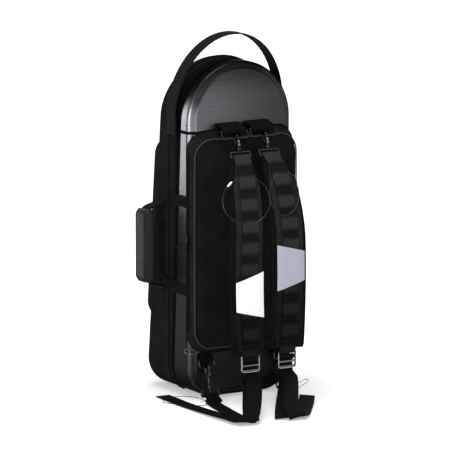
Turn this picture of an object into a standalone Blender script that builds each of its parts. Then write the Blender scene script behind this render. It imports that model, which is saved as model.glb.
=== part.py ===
"""Backpack trumpet case, standing on its base.

A brushed hard back shell carries the harness and the music pocket. A fabric covered lid is
zipped to it and hinges on the right. X runs to the right of someone who faces the harness,
Y runs from the harness to the lid, and Z is up. The origin lies on the floor, midway through
the back shell's depth. Lengths are in metres.
"""

import math

import bmesh
import bpy
from mathutils import Matrix, Vector

# Whole case
CASE_HEIGHT = 0.580
CASE_WIDTH = 0.204
BASE_RADIUS = 0.052
BACK_DEPTH_BASE = 0.063
BACK_DEPTH_TOP = 0.030
LID_DEPTH_BASE = 0.101
LID_DEPTH_TOP = 0.076
FIT_GAP = 0.0003
OVERRUN = 0.010

# Back shell
SHELL_WALL = 0.003
SHELL_EDGE_RADIUS = 0.009
LEDGE_DROP = 0.0045
PANEL_INSET = 0.0115
PANEL_EDGE_RADIUS = 0.0030
GROOVE_DEPTH = 0.0012
FLANGE_DEPTH = 0.0035

# Zip band between the shell and the lid
SHELL_BAND_BASE = 0.006
SHELL_BAND_TOP = 0.007
LID_BAND_BASE = 0.006
LID_BAND_TOP = 0.014
BAND_INSET = 0.0055
TAPE_THICKNESS = 0.0020
TEETH_WIDTH = 0.0050
TEETH_RISE = 0.0008

# Lid
LID_WALL = 0.0045
LID_EDGE_RADIUS = 0.020
LID_PIPING_RADIUS = 0.0015
LID_PIPING_Y = 0.043
LINING_THICKNESS = 0.006

# Fabric hinge on the right
HINGE_STRIP_THICKNESS = 0.0012
HINGE_STRIP_INSET = 0.0031
HINGE_STRIP_LAP = 0.0015
HINGE_STRIP_MARGIN = 0.020
HINGE_AXIS_OUT = 0.0055

# Foam bed and what lies in it
FOAM_EDGE = 0.002
FOAM_DROP = 0.0045
FOAM_FLOOR = 0.006
BELL_RADIUS = 0.064
BELL_STEM_RADIUS = 0.013
BELL_MOUTH_Z = 0.040
BELL_LENGTH = 0.150
BELL_X = -0.016
BELL_Y = 0.045
STEM_HEADROOM = 0.080
VALVE_WIDTH = 0.066
VALVE_HEIGHT = 0.150
VALVE_DEPTH = 0.044
VALVE_Z = 0.292
VALVE_X = 0.034
VALVE_CORNER = 0.012
STAY_WIDTH = 0.025
STAY_THICKNESS = 0.0016
STAY_LENGTH = 0.110
STAY_HEADROOM = 0.175
STAY_RISE = 0.004
STAY_PATCH = 0.030
BLOCK_LENGTH = 0.058
BLOCK_HEIGHT = 0.030
BLOCK_DEPTH = 0.020
BLOCK_X = 0.046
BLOCK_HEADROOM = 0.118
BLOCK_EDGE = 0.003
BORE_RADIUS = 0.0095
BORE_DEPTH = 0.015
BORE_PITCH = 0.028

# Music pocket on the back shell
POCKET_HEADROOM = 0.114
POCKET_BASE_Z = 0.080
POCKET_LIP = 0.0010
POCKET_DEPTH = 0.014
POCKET_CROWN = 0.004
POCKET_WRAP = 0.011
POCKET_SHOULDER = 0.015
POCKET_TOE = 0.011
POCKET_SIDE_DRAW = 0.003
POCKET_CORNER = 0.032
PIPING_RADIUS = 0.0013
MUSIC_ZIP_WIDTH = 0.008
MUSIC_ZIP_THICKNESS = 0.0008
MUSIC_ZIP_BASE_Z = 0.120
MUSIC_ZIP_DROP = 0.038
MUSIC_ZIP_SET_BACK = 0.0045
MUSIC_SLIDER_Z = 0.279

# Front pocket on the lid
FRONT_HEADROOM = 0.140
FRONT_BASE_Z = 0.110
FRONT_WIDTH = 0.174
FRONT_DEPTH = 0.033
FRONT_CORNER = 0.034
FRONT_EDGE = 0.012
FRONT_CROWN = 0.004
FRONT_ZIP_LENGTH = 0.104
FRONT_ZIP_WIDTH = 0.008
FRONT_ZIP_THICKNESS = 0.0008
FRONT_SLIDER_X = -0.040

# Zip sliders and their pulls
SLIDER_WIDTH = 0.0090
SLIDER_LENGTH = 0.0130
SLIDER_THICKNESS = 0.0026
SLIDER_WAIST = 0.0060
EAR_WIDTH = 0.0010
EAR_RISE = 0.0014
EAR_LENGTH = 0.0040
PULL_WIDTH = 0.0056
PULL_NECK = 0.0034
PULL_LENGTH = 0.0240
PULL_THICKNESS = 0.0011
PULL_NECK_LENGTH = 0.0060
PULL_HOLE_RADIUS = 0.0013
UPPER_SLIDER_Z = 0.259
LOWER_SLIDER_Z = 0.232

# Top carry handle
HANDLE_FOOT_RISE = 0.012
HANDLE_RISE = 0.135
HANDLE_LEG = 0.036
HANDLE_WIDTH = 0.030
HANDLE_THICKNESS = 0.0022
HANDLE_Y = 0.024
HANDLE_PATCH_HEIGHT = 0.028
HANDLE_PATCH_THICKNESS = 0.0030

# Side carry handle
GRIP_Z = 0.2605
GRIP_LENGTH = 0.127
GRIP_WIDTH = 0.038
GRIP_THICKNESS = 0.020
GRIP_CLEARANCE = 0.029
GRIP_Y = 0.055
GRIP_EDGE = 0.006
GRIP_CORE_WIDTH = 0.026
GRIP_CORE_THICKNESS = 0.0026
SIDE_ANCHOR_REACH = 0.077
SIDE_BAND_WIDTH = 0.020
SIDE_BAND_THICKNESS = 0.0014
SIDE_BAND_END_Y = 0.074
UPPER_BAND_RISE = 0.0825
LOWER_BAND_DROP = 0.0705
BAND_SLANT = 0.010

# Harness tabs and rings
TAB_X = 0.0285
TAB_WIDTH = 0.046
TAB_RISE = 0.006
TAB_REACH = 0.021
TAB_DIP = 0.006
TAB_FOLD = 0.0042
TAB_THICKNESS = 0.0018
RING_WIRE = 0.0016
RING_CLEARANCE = 0.0010
RING_DROP = 0.0125
RING_LEAN = 0.006
FOOT_TAB_X = 0.075
FOOT_TAB_WIDTH = 0.025
FOOT_TAB_Z = 0.0735
FOOT_TAB_REACH = 0.007
FOOT_TAB_DIP = 0.004

# Snap hooks
HOOK_WIRE = 0.0022
HOOK_BEND = 0.0062
HOOK_STEM = 0.0100
HOOK_TAPER = 0.0050
HOOK_TIP = 0.0030
BARREL_RADIUS = 0.0042
BARREL_LENGTH = 0.0065
SWIVEL_LENGTH = 0.0030
EYE_MARGIN = 0.0040
EYE_INSIDE_HEIGHT = 0.0060
EYE_WIRE = 0.0019
EYE_CORNER = 0.0030
UPPER_HOOK_LEAN_SHARE = 0.176
FOOT_HOOK_LEAN_SHARE = 0.075
FOOT_HOOK_NECK = 0.0145
GATE_THICKNESS = 0.0014
GATE_WIDTH = 0.0036

# Shoulder pads
PAD_THICKNESS = 0.013
PAD_NECK_WIDTH = 0.044
PAD_SHOULDER_WIDTH = 0.064
PAD_WIDTH = 0.070
PAD_TOP_DROP = 0.051
PAD_BASE_Z = 0.094
PAD_TOP_X = 0.031
PAD_MID_X = 0.038
PAD_BASE_X = 0.0365
PAD_TOP_OUT = 0.052
PAD_MID_OUT = 0.088
WEB_WIDTH = 0.031
WEB_THICKNESS = 0.0016
WEB_SWELL = 0.0022
WEB_SEGMENTS = 8

# Reflective patches
PATCH_WIDTH = 0.054
PATCH_SHORT = 0.050
PATCH_LONG = 0.081
PATCH_THICKNESS = 0.0008
LEFT_PATCH_Z = 0.192
RIGHT_PATCH_Z = 0.235

# Ladder locks and the loose webbing
LOCK_WIDTH = 0.036
LOCK_HEIGHT = 0.031
LOCK_THICKNESS = 0.0032
LOCK_CORNER = 0.0045
LOCK_RAIL = 0.0020
LOCK_SLOT = 0.0058
LOCK_BAR = 0.0030
LOCK_LIP_HOLE = 0.0022
STRAP_WIDTH = 0.027
STRAP_THICKNESS = 0.0015
STRAP_LIFT = 0.0010
STRAP_FLOOR_LENGTH = 0.250

# Counts and shading
TOP_STEPS = 22
CORNER_STEPS = 6
WIRE_SIDES = 8
SHARP_ANGLE = math.radians(38)

FACE_Y = -BACK_DEPTH_BASE / 2
HALF_WIDTH = CASE_WIDTH / 2
CROWN_Z = CASE_HEIGHT - HALF_WIDTH
STEM_TOP_Z = CASE_HEIGHT - STEM_HEADROOM
BLOCK_Z = CASE_HEIGHT - BLOCK_HEADROOM
STAY_Z = CASE_HEIGHT - STAY_HEADROOM
POCKET_TOP_Z = CASE_HEIGHT - POCKET_HEADROOM
MUSIC_ZIP_TOP_Z = POCKET_TOP_Z - MUSIC_ZIP_DROP
FRONT_TOP_Z = CASE_HEIGHT - FRONT_HEADROOM
HANDLE_FOOT_Z = CROWN_Z + HANDLE_FOOT_RISE
TAB_Z = POCKET_TOP_Z + TAB_RISE
PAD_TOP_Z = POCKET_TOP_Z - PAD_TOP_DROP

materials = {}


def clear_scene():
    for obj in list(bpy.data.objects):
        bpy.data.objects.remove(obj, do_unlink=True)


def finish(name, colour, roughness, metallic=0.0):
    """A named material, made once."""
    if name not in materials:
        made = bpy.data.materials.new(name)
        made.use_nodes = True
        shader = made.node_tree.nodes["Principled BSDF"]
        shader.inputs["Base Color"].default_value = (*colour, 1.0)
        shader.inputs["Roughness"].default_value = roughness
        shader.inputs["Metallic"].default_value = metallic
        materials[name] = made
    return materials[name]


def brushed_shell():
    return finish("brushed_gunmetal", (0.085, 0.085, 0.09), 0.38, 0.75)


def case_cloth():
    return finish("woven_case_cloth", (0.012, 0.012, 0.013), 0.85)


def pocket_cloth():
    return finish("pocket_cloth", (0.010, 0.010, 0.012), 0.9)


def webbing_cloth():
    return finish("harness_webbing", (0.016, 0.016, 0.017), 0.8)


def piping_cord():
    return finish("grey_piping", (0.25, 0.25, 0.26), 0.6)


def plush():
    return finish("plush_foam", (0.020, 0.020, 0.024), 0.95)


def zip_cloth():
    return finish("zip_tape", (0.010, 0.010, 0.010), 0.75)


def metal():
    return finish("gunmetal_hardware", (0.22, 0.22, 0.23), 0.3, 1.0)


def grip_vinyl():
    return finish("grip_vinyl", (0.03, 0.03, 0.032), 0.5)


def reflective(name, colour):
    return finish(name, colour, 0.45)


def pivot_at(name, place):
    """An empty on a joint's axis, which carries what turns or slides there."""
    empty = bpy.data.objects.new(name, None)
    empty.location = place
    bpy.context.scene.collection.objects.link(empty)
    return empty


def add_solid(name, points, faces, material, pivot=None):
    """One closed mesh object. Points are given in the case's frame."""
    mesh = bpy.data.meshes.new(name)
    mesh.from_pydata([tuple(point) for point in points], [], faces)
    edit = bmesh.new()
    edit.from_mesh(mesh)
    bmesh.ops.recalc_face_normals(edit, faces=edit.faces)
    if edit.calc_volume(signed=True) < 0:
        bmesh.ops.reverse_faces(edit, faces=edit.faces)
    edit.to_mesh(mesh)
    edit.free()
    mesh.materials.append(material)
    mesh.shade_smooth()
    mesh.set_sharp_from_angle(angle=SHARP_ANGLE)
    obj = bpy.data.objects.new(name, mesh)
    bpy.context.scene.collection.objects.link(obj)
    if pivot:
        mesh.transform(Matrix.Translation(-pivot.location))
        obj.parent = pivot
    return obj


def loft(name, rings, material, pivot=None, loop=False):
    """Skin rings of equal count. A loop joins the last ring to the first and has no caps."""
    count = len(rings[0])
    points = [point for ring in rings for point in ring]
    faces = []
    for i in range(len(rings) if loop else len(rings) - 1):
        low = i * count
        high = (i + 1) % len(rings) * count
        for j in range(count):
            k = (j + 1) % count
            faces.append((low + j, low + k, high + k, high + j))
    if not loop:
        faces.append(tuple(range(count)))
        faces.append(tuple(range(len(points) - count, len(points))))
    return add_solid(name, points, faces, material, pivot)


def arc(centre, radius, start, end, steps):
    """Points (u, v) on an arc, both ends included."""
    turns = [start + (end - start) * i / steps for i in range(steps + 1)]
    return [(centre[0] + radius * math.cos(a), centre[1] + radius * math.sin(a)) for a in turns]


def curve_through(points, steps):
    """A smooth centripetal curve through the given points, with so many steps for each span."""
    points = [Vector(point) for point in points]
    ends = [2 * points[0] - points[1], *points, 2 * points[-1] - points[-2]]
    found = []
    for i in range(1, len(ends) - 2):
        near = ends[i - 1 : i + 3]
        knots = [0.0]
        for first, second in zip(near, near[1:]):
            knots.append(knots[-1] + math.sqrt((second - first).length))
        for j in range(steps):
            t = knots[1] + (knots[2] - knots[1]) * j / steps
            found.append(blend_span(near, knots, t))
    return [*found, points[-1]]


def blend_span(points, knots, t):
    """Blend neighbouring points in pairs until one is left, at the parameter t."""
    for start, reach in ((0, 1), (0, 2), (1, 1)):
        merged = []
        for i in range(len(points) - 1):
            low, high = knots[start + i], knots[start + i + reach]
            merged.append(points[i] + (points[i + 1] - points[i]) * ((t - low) / (high - low)))
        points = merged
    return points[0]


def tangents(path, loop=False):
    """The direction of travel at each point of a path."""
    count = len(path)
    found = []
    for i in range(count):
        before = path[i - 1] if loop or i > 0 else path[i]
        after = path[(i + 1) % count] if loop or i < count - 1 else path[i]
        found.append((after - before).normalized())
    return found


def tube(name, path, radius, material, pivot=None, loop=False, sides=WIRE_SIDES):
    """A round bar along a path. Radius is one number, or one for each point."""
    path = [Vector(point) for point in path]
    radii = radius if isinstance(radius, (list, tuple)) else [radius] * len(path)
    ways = tangents(path, loop)
    normal = ways[0].orthogonal().normalized()
    rings = []
    for place, way, size in zip(path, ways, radii):
        normal = (normal - way * normal.dot(way)).normalized()
        across = way.cross(normal)
        turns = [2 * math.pi * i / sides for i in range(sides)]
        rings.append([place + (normal * math.cos(a) + across * math.sin(a)) * size for a in turns])
    return loft(name, rings, material, pivot, loop)


def raised(first, second, floor):
    """The two faces of a band's edge, moved up together where the lower one is under the floor."""
    lift = Vector((0, 0, max(0.0, floor - min(first.z, second.z))))
    return first + lift, second + lift


def ribbon(name, path, across, width, thickness, material, pivot=None, floor=None):
    """A flat band along a path. Across holds the direction of its width at each point."""
    path = [Vector(point) for point in path]
    rings = []
    for place, way, side in zip(path, tangents(path), across):
        side = (Vector(side) - way * way.dot(Vector(side))).normalized()
        up = way.cross(side).normalized()
        a, b = side * width / 2, up * thickness / 2
        near, far = (place - a - b, place - a + b), (place + a - b, place + a + b)
        if floor is not None:
            near, far = raised(*near, floor), raised(*far, floor)
        rings.append([near[0], far[0], far[1], near[1]])
    return loft(name, rings, material, pivot)


def prism(name, outline, origin, axes, depth, material, pivot=None):
    """Extrude an outline of (u, v) points along the third axis, half of the depth each way."""
    u, v, w = (Vector(axis) for axis in axes)
    rings = []
    for side in (-depth / 2, depth / 2):
        rings.append([Vector(origin) + u * a + v * b + w * side for a, b in outline])
    return loft(name, rings, material, pivot)


def rounded_rectangle(width, height, radius, steps=CORNER_STEPS):
    """An outline round the origin, anticlockwise from the lower right corner."""
    x, y = width / 2 - radius, height / 2 - radius
    quarter = math.pi / 2
    corners = (((x, -y), -quarter), ((x, y), 0), ((-x, y), quarter), ((-x, -y), math.pi))
    return [point for centre, start in corners for point in arc(centre, radius, start, start + quarter, steps)]


def hide(obj):
    """Keep an object as a cutter or a helper."""
    obj.hide_render = True
    obj.display_type = "WIRE"
    return obj


def combine(obj, other, operation):
    """A Boolean with a hidden helper, applied at once so that later ones meet its result."""
    step = obj.modifiers.new(operation.lower(), "BOOLEAN")
    step.operation = operation
    step.solver = "EXACT"
    step.object = hide(other)
    bpy.context.view_layer.update()
    graph = bpy.context.evaluated_depsgraph_get()
    result = bpy.data.meshes.new_from_object(obj.evaluated_get(graph))
    obj.modifiers.clear()
    obj.data = result
    bpy.data.objects.remove(other)
    obj.data.set_sharp_from_angle(angle=SHARP_ANGLE)
    return obj


def cut(obj, cutter):
    return combine(obj, cutter, "DIFFERENCE")


def unite(obj, other):
    return combine(obj, other, "UNION")


def along_height(base, top, z):
    """A size that changes evenly from the floor to the top of the case."""
    return base + (top - base) * z / CASE_HEIGHT


def seam_y(z):
    """The plane where the two halves meet."""
    return FACE_Y + along_height(BACK_DEPTH_BASE, BACK_DEPTH_TOP, z)


def shell_rim_y(z):
    return seam_y(z) - along_height(SHELL_BAND_BASE, SHELL_BAND_TOP, z)


def lid_rim_y(z):
    return seam_y(z) + along_height(LID_BAND_BASE, LID_BAND_TOP, z)


def lid_front_y(z):
    return seam_y(z) + along_height(LID_DEPTH_BASE, LID_DEPTH_TOP, z)


def flat_at(y):
    """A station that lies in one upright plane."""
    return lambda z: y


def shifted(station, step):
    return lambda z: station(z) + step


def case_outline(inset):
    """The case's outline as (x, z) points: a round top and rounded lower corners."""
    corner = BASE_RADIUS - inset
    centre = HALF_WIDTH - BASE_RADIUS
    points = arc((0, CROWN_Z), HALF_WIDTH - inset, 0, math.pi, TOP_STEPS)
    points += arc((-centre, BASE_RADIUS), corner, math.pi, 1.5 * math.pi, CORNER_STEPS)
    points += arc((centre, BASE_RADIUS), corner, 1.5 * math.pi, 2 * math.pi, CORNER_STEPS)
    return points


def case_ring(inset, station):
    return [Vector((x, station(z), z)) for x, z in case_outline(inset)]


def edge_rings(inset, station, radius, way, steps=4):
    """Rings round an edge of the given radius. Way is -1 towards the harness and 1 towards the lid."""
    found = []
    for i in range(steps + 1):
        turn = math.pi / 2 * i / steps
        found.append(
            case_ring(
                inset + radius * (1 - math.cos(turn)),
                shifted(station, way * radius * (math.sin(turn) - 1)),
            )
        )
    return found


def panel_rings():
    """The raised face of the back shell, from the ledge round it to its flat front."""
    ledge = FACE_Y + LEDGE_DROP
    groove = ledge + GROOVE_DEPTH
    return [
        case_ring(PANEL_INSET - 2 * GROOVE_DEPTH, flat_at(ledge)),
        case_ring(PANEL_INSET - GROOVE_DEPTH, flat_at(groove)),
        case_ring(PANEL_INSET, flat_at(groove)),
        *edge_rings(PANEL_INSET, flat_at(FACE_Y), PANEL_EDGE_RADIUS, -1, 3),
    ]


def shell_inside(gap):
    """Rings round the inside of the back shell's floor, or so far within it."""
    floor = FACE_Y + SHELL_WALL + gap
    inset = SHELL_WALL + gap
    bend = SHELL_EDGE_RADIUS - SHELL_WALL
    return [
        case_ring(PANEL_INSET + SHELL_WALL + inset, flat_at(floor)),
        case_ring(PANEL_INSET + inset, flat_at(floor + LEDGE_DROP)),
        case_ring(bend + inset, flat_at(floor + LEDGE_DROP)),
        case_ring(inset, flat_at(floor + LEDGE_DROP + bend)),
    ]


def make_back_shell():
    ledge = flat_at(FACE_Y + LEDGE_DROP)
    flange = BAND_INSET - FIT_GAP
    rings = [
        *shell_inside(0),
        case_ring(SHELL_WALL, shifted(shell_rim_y, -FLANGE_DEPTH - SHELL_WALL)),
        case_ring(flange, shifted(shell_rim_y, -FLANGE_DEPTH)),
        case_ring(flange, shell_rim_y),
        case_ring(0, shell_rim_y),
        *edge_rings(0, ledge, SHELL_EDGE_RADIUS, -1, 5),
        *panel_rings(),
    ]
    return loft("back_shell", rings, brushed_shell())


def make_zip_tapes(lid):
    """The two halves of the main zip, each with its row of teeth raised along the seam."""
    back = tape_rings(shifted(shell_rim_y, -FLANGE_DEPTH), shifted(seam_y, -FIT_GAP), -1)
    loft("zip_tape_back", back, zip_cloth(), loop=True)
    front = tape_rings(shifted(lid_rim_y, FLANGE_DEPTH), shifted(seam_y, FIT_GAP), 1)
    loft("zip_tape_lid", front, zip_cloth(), lid, loop=True)


def tape_rings(root, seam, way):
    teeth = shifted(seam, way * TEETH_WIDTH)
    inner = BAND_INSET + TAPE_THICKNESS
    crest = BAND_INSET - TEETH_RISE
    return [
        case_ring(BAND_INSET, root),
        case_ring(BAND_INSET, teeth),
        case_ring(crest, shifted(teeth, -way * TEETH_RISE)),
        case_ring(crest, seam),
        case_ring(inner, seam),
        case_ring(inner, root),
    ]


def make_hinge_strip():
    """The fabric hinge down the right side, inside the zip band."""
    x = HALF_WIDTH - HINGE_STRIP_INSET - HINGE_STRIP_THICKNESS / 2
    low, high = BASE_RADIUS + HINGE_STRIP_MARGIN, CROWN_Z - HINGE_STRIP_MARGIN
    rings = []
    for z in (low, high):
        near, far = shell_rim_y(z) + FIT_GAP, seam_y(z) + HINGE_STRIP_LAP
        half = HINGE_STRIP_THICKNESS / 2
        rings.append([(x - half, near, z), (x + half, near, z), (x + half, far, z), (x - half, far, z)])
    loft("hinge_strip", rings, webbing_cloth())


def make_lid_shell(lid):
    inner_floor = shifted(lid_front_y, -LID_WALL)
    flange = BAND_INSET - FIT_GAP
    rings = [
        case_ring(LID_EDGE_RADIUS, inner_floor),
        case_ring(LID_WALL, shifted(inner_floor, -LID_EDGE_RADIUS)),
        case_ring(LID_WALL, shifted(lid_rim_y, FLANGE_DEPTH + LID_WALL)),
        case_ring(flange, shifted(lid_rim_y, FLANGE_DEPTH)),
        case_ring(flange, lid_rim_y),
        case_ring(0, lid_rim_y),
        *edge_rings(0, lid_front_y, LID_EDGE_RADIUS, 1, 6),
    ]
    loft("lid_shell", rings, case_cloth(), lid)


def make_lid_piping(lid):
    """The raised seam round the lid's side wall, from one lower corner over the top to the other."""
    inset = -LID_PIPING_RADIUS - FIT_GAP
    ring = case_ring(inset, flat_at(LID_PIPING_Y))
    low = len(ring) - CORNER_STEPS - 1
    path = [point for point in ring[low:] + ring[:low] if point.z > LID_PIPING_RADIUS * 2]
    tube("lid_piping", path, LID_PIPING_RADIUS, case_cloth(), lid, sides=6)


def make_lid_lining(lid):
    outer = LID_WALL + FIT_GAP
    inner = outer + LINING_THICKNESS
    rim = shifted(lid_rim_y, FLANGE_DEPTH + LID_WALL + FIT_GAP)
    floor = shifted(lid_front_y, -LID_WALL - FIT_GAP)
    rings = [
        case_ring(inner + LID_EDGE_RADIUS, shifted(floor, -LINING_THICKNESS)),
        case_ring(inner, shifted(floor, -LINING_THICKNESS - LID_EDGE_RADIUS)),
        case_ring(inner, rim),
        case_ring(outer, rim),
        case_ring(outer, shifted(floor, -LID_EDGE_RADIUS - LINING_THICKNESS / 2)),
        case_ring(LID_EDGE_RADIUS + LINING_THICKNESS, floor),
    ]
    loft("lid_lining", rings, plush(), lid)


def foam_face_y(z):
    """The open face of the foam bed, below the zip tape."""
    return shell_rim_y(z) - FOAM_DROP


def foam_directions():
    """Up along the foam's sloping face, and straight out of it."""
    rise = foam_face_y(CASE_HEIGHT) - foam_face_y(0)
    up = Vector((0, rise, CASE_HEIGHT)).normalized()
    return up, Vector((0, up.z, -up.y))


def bell_cutter():
    """The trumpet's bell and leadpipe, as a turned shape along Z."""
    profile = [(BELL_RADIUS, BELL_MOUTH_Z)]
    for i in range(1, 7):
        share = i / 6
        radius = BELL_STEM_RADIUS + (BELL_RADIUS - BELL_STEM_RADIUS) * (1 - share) ** 3
        profile.append((radius, BELL_MOUTH_Z + BELL_LENGTH * share))
    profile.append((BELL_STEM_RADIUS, STEM_TOP_Z))
    rings = []
    for radius, z in profile:
        rings.append([(x, y, z) for x, y in arc((BELL_X, BELL_Y), radius, 0, 2 * math.pi * 23 / 24, 23)])
    return loft("bell_cutter", rings, plush())


def stem_channel_cutter():
    """The channel that drops from the foam's face to the leadpipe."""
    base_z = BELL_MOUTH_Z + BELL_LENGTH
    floor_y = FACE_Y + SHELL_WALL + FOAM_FLOOR
    rings = []
    for z in (base_z, STEM_TOP_Z):
        a, b = BELL_X - BELL_STEM_RADIUS, BELL_X + BELL_STEM_RADIUS
        far = foam_face_y(z) + OVERRUN
        rings.append([(a, floor_y, z), (b, floor_y, z), (b, far, z), (a, far, z)])
    return loft("stem_channel", rings, plush())


def valve_cutter():
    outline = rounded_rectangle(VALVE_WIDTH, VALVE_HEIGHT, VALVE_CORNER, 3)
    floor_y = FACE_Y + SHELL_WALL + FOAM_FLOOR
    middle = floor_y + VALVE_DEPTH / 2
    place = (VALVE_X, middle, VALVE_Z)
    axes = ((1, 0, 0), (0, 0, 1), (0, 1, 0))
    return prism("valve_cutter", outline, place, axes, VALVE_DEPTH, plush())


def make_foam_bed():
    """The plush bed in the back shell, with the recess that the instrument lies in."""
    inset = SHELL_WALL + FIT_GAP
    rings = [
        *shell_inside(FIT_GAP),
        case_ring(inset, shifted(foam_face_y, -FOAM_EDGE)),
        case_ring(inset + FOAM_EDGE, foam_face_y),
    ]
    bed = loft("foam_bed", rings, plush())
    for cutter in (bell_cutter(), stem_channel_cutter(), valve_cutter()):
        cut(bed, cutter)


def make_instrument_stay():
    """The band that holds the instrument down across its leadpipe."""
    up, out = foam_directions()
    half = STAY_LENGTH / 2
    places = (-half, -half + STAY_PATCH, -STAY_PATCH / 2, STAY_PATCH / 2, half - STAY_PATCH, half)
    rises = (0, 0, STAY_RISE, STAY_RISE, 0, 0)
    path = []
    for x, rise in zip(places, rises):
        lift = 2 * FIT_GAP + STAY_THICKNESS / 2 + rise
        path.append(Vector((BELL_X + x, foam_face_y(STAY_Z), STAY_Z)) + out * lift)
    ribbon("instrument_stay", path, [up] * len(path), STAY_WIDTH, STAY_THICKNESS, webbing_cloth())


def make_mouthpiece_block():
    """A foam block with two bores for mouthpieces, seated on the bed."""
    up, out = foam_directions()
    seat = Vector((BLOCK_X, foam_face_y(BLOCK_Z), BLOCK_Z)) + out * FIT_GAP
    place = seat + out * BLOCK_DEPTH / 2
    outline = rounded_rectangle(BLOCK_HEIGHT, BLOCK_LENGTH, BLOCK_EDGE, 2)
    block = prism("mouthpiece_block", outline, place, ((1, 0, 0), up, out), BLOCK_DEPTH, plush())
    for side in (-1, 1):
        bore = arc((0, 0), BORE_RADIUS, 0, 2 * math.pi * 15 / 16, 15)
        mouth = seat + out * BLOCK_DEPTH + up * side * BORE_PITCH / 2
        cut(block, prism("bore", bore, mouth, ((1, 0, 0), up, out), 2 * BORE_DEPTH, plush()))


def pocket_outline(draw):
    """The music pocket's outline as (x, z) points, drawn in by the given amount at its front."""
    half = HALF_WIDTH + POCKET_LIP - draw * POCKET_SIDE_DRAW
    top = POCKET_TOP_Z - draw * POCKET_SHOULDER
    base = POCKET_BASE_Z + draw * POCKET_TOE
    radius = POCKET_CORNER
    quarter = math.pi / 2
    corners = (
        ((half - radius, base + radius), -quarter),
        ((half - radius, top - radius), 0),
        ((radius - half, top - radius), quarter),
        ((radius - half, base + radius), math.pi),
    )
    return [p for centre, start in corners for p in arc(centre, radius, start, start + quarter, 6)]


def pocket_ring(draw, y, inset=0.0):
    """One ring of the pocket. Inset moves it in towards the middle of the panel."""
    middle = (POCKET_TOP_Z + POCKET_BASE_Z) / 2
    found = []
    for x, z in pocket_outline(draw):
        flat = Vector((x, z - middle))
        flat -= flat.normalized() * inset
        found.append(Vector((flat.x, y, middle + flat.y)))
    return found


def shell_envelope():
    """What the pocket is cut by: the shell's outside with the fitting gap round it."""
    ledge_y = FACE_Y + LEDGE_DROP - FIT_GAP
    grown = [
        case_ring(-FIT_GAP, flat_at(ledge_y + SHELL_EDGE_RADIUS + OVERRUN)),
        *edge_rings(-FIT_GAP, flat_at(ledge_y), SHELL_EDGE_RADIUS, -1, 5),
        case_ring(PANEL_INSET - FIT_GAP, flat_at(ledge_y)),
        case_ring(PANEL_INSET - FIT_GAP, flat_at(FACE_Y - FIT_GAP)),
    ]
    return loft("shell_envelope", grown, pocket_cloth())


def make_music_pocket():
    """The flat music pocket. Its gusset wraps the edges of the raised face."""
    back = FACE_Y + POCKET_WRAP
    front = FACE_Y - POCKET_DEPTH
    rings = [
        pocket_ring(0, back),
        pocket_ring(0, FACE_Y),
        pocket_ring(1, front),
        pocket_ring(1, front - POCKET_CROWN, POCKET_CORNER),
    ]
    pocket = loft("music_pocket", rings, pocket_cloth())
    cut(pocket, shell_envelope())
    outer = PIPING_RADIUS + FIT_GAP
    path = pocket_ring(1, front - outer * 0.6, -outer)
    tube("music_pocket_piping", path, PIPING_RADIUS, piping_cord(), loop=True, sides=6)


def music_gusset_x():
    return -HALF_WIDTH - POCKET_LIP


def music_zip_y():
    return FACE_Y + MUSIC_ZIP_SET_BACK


def make_music_zip():
    """The pocket's zip down the left gusset, with its slider and pull."""
    x = music_gusset_x() - FIT_GAP - MUSIC_ZIP_THICKNESS / 2
    middle = (MUSIC_ZIP_BASE_Z + MUSIC_ZIP_TOP_Z) / 2
    outline = rounded_rectangle(MUSIC_ZIP_WIDTH, MUSIC_ZIP_TOP_Z - MUSIC_ZIP_BASE_Z, MUSIC_ZIP_WIDTH / 4, 2)
    place = (x, music_zip_y(), middle)
    axes = ((0, 1, 0), (0, 0, 1), (1, 0, 0))
    prism("music_pocket_zip", outline, place, axes, MUSIC_ZIP_THICKNESS, zip_cloth())
    seat = Vector((x - MUSIC_ZIP_THICKNESS / 2 - FIT_GAP, music_zip_y(), MUSIC_SLIDER_Z))
    make_slider("music", seat, Vector((-1, 0, 0)), Vector((0, 0, 1)))


def slider_outline():
    """A slider from above: broad shoulders and a waist, as (across, along) points."""
    half, waist, length = SLIDER_WIDTH / 2, SLIDER_WAIST / 2, SLIDER_LENGTH / 2
    right = [(waist, -length), (half * 0.86, -length * 0.6), (half, 0), (half, length * 0.6), (waist, length)]
    return right + [(-x, y) for x, y in reversed(right)]


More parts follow.
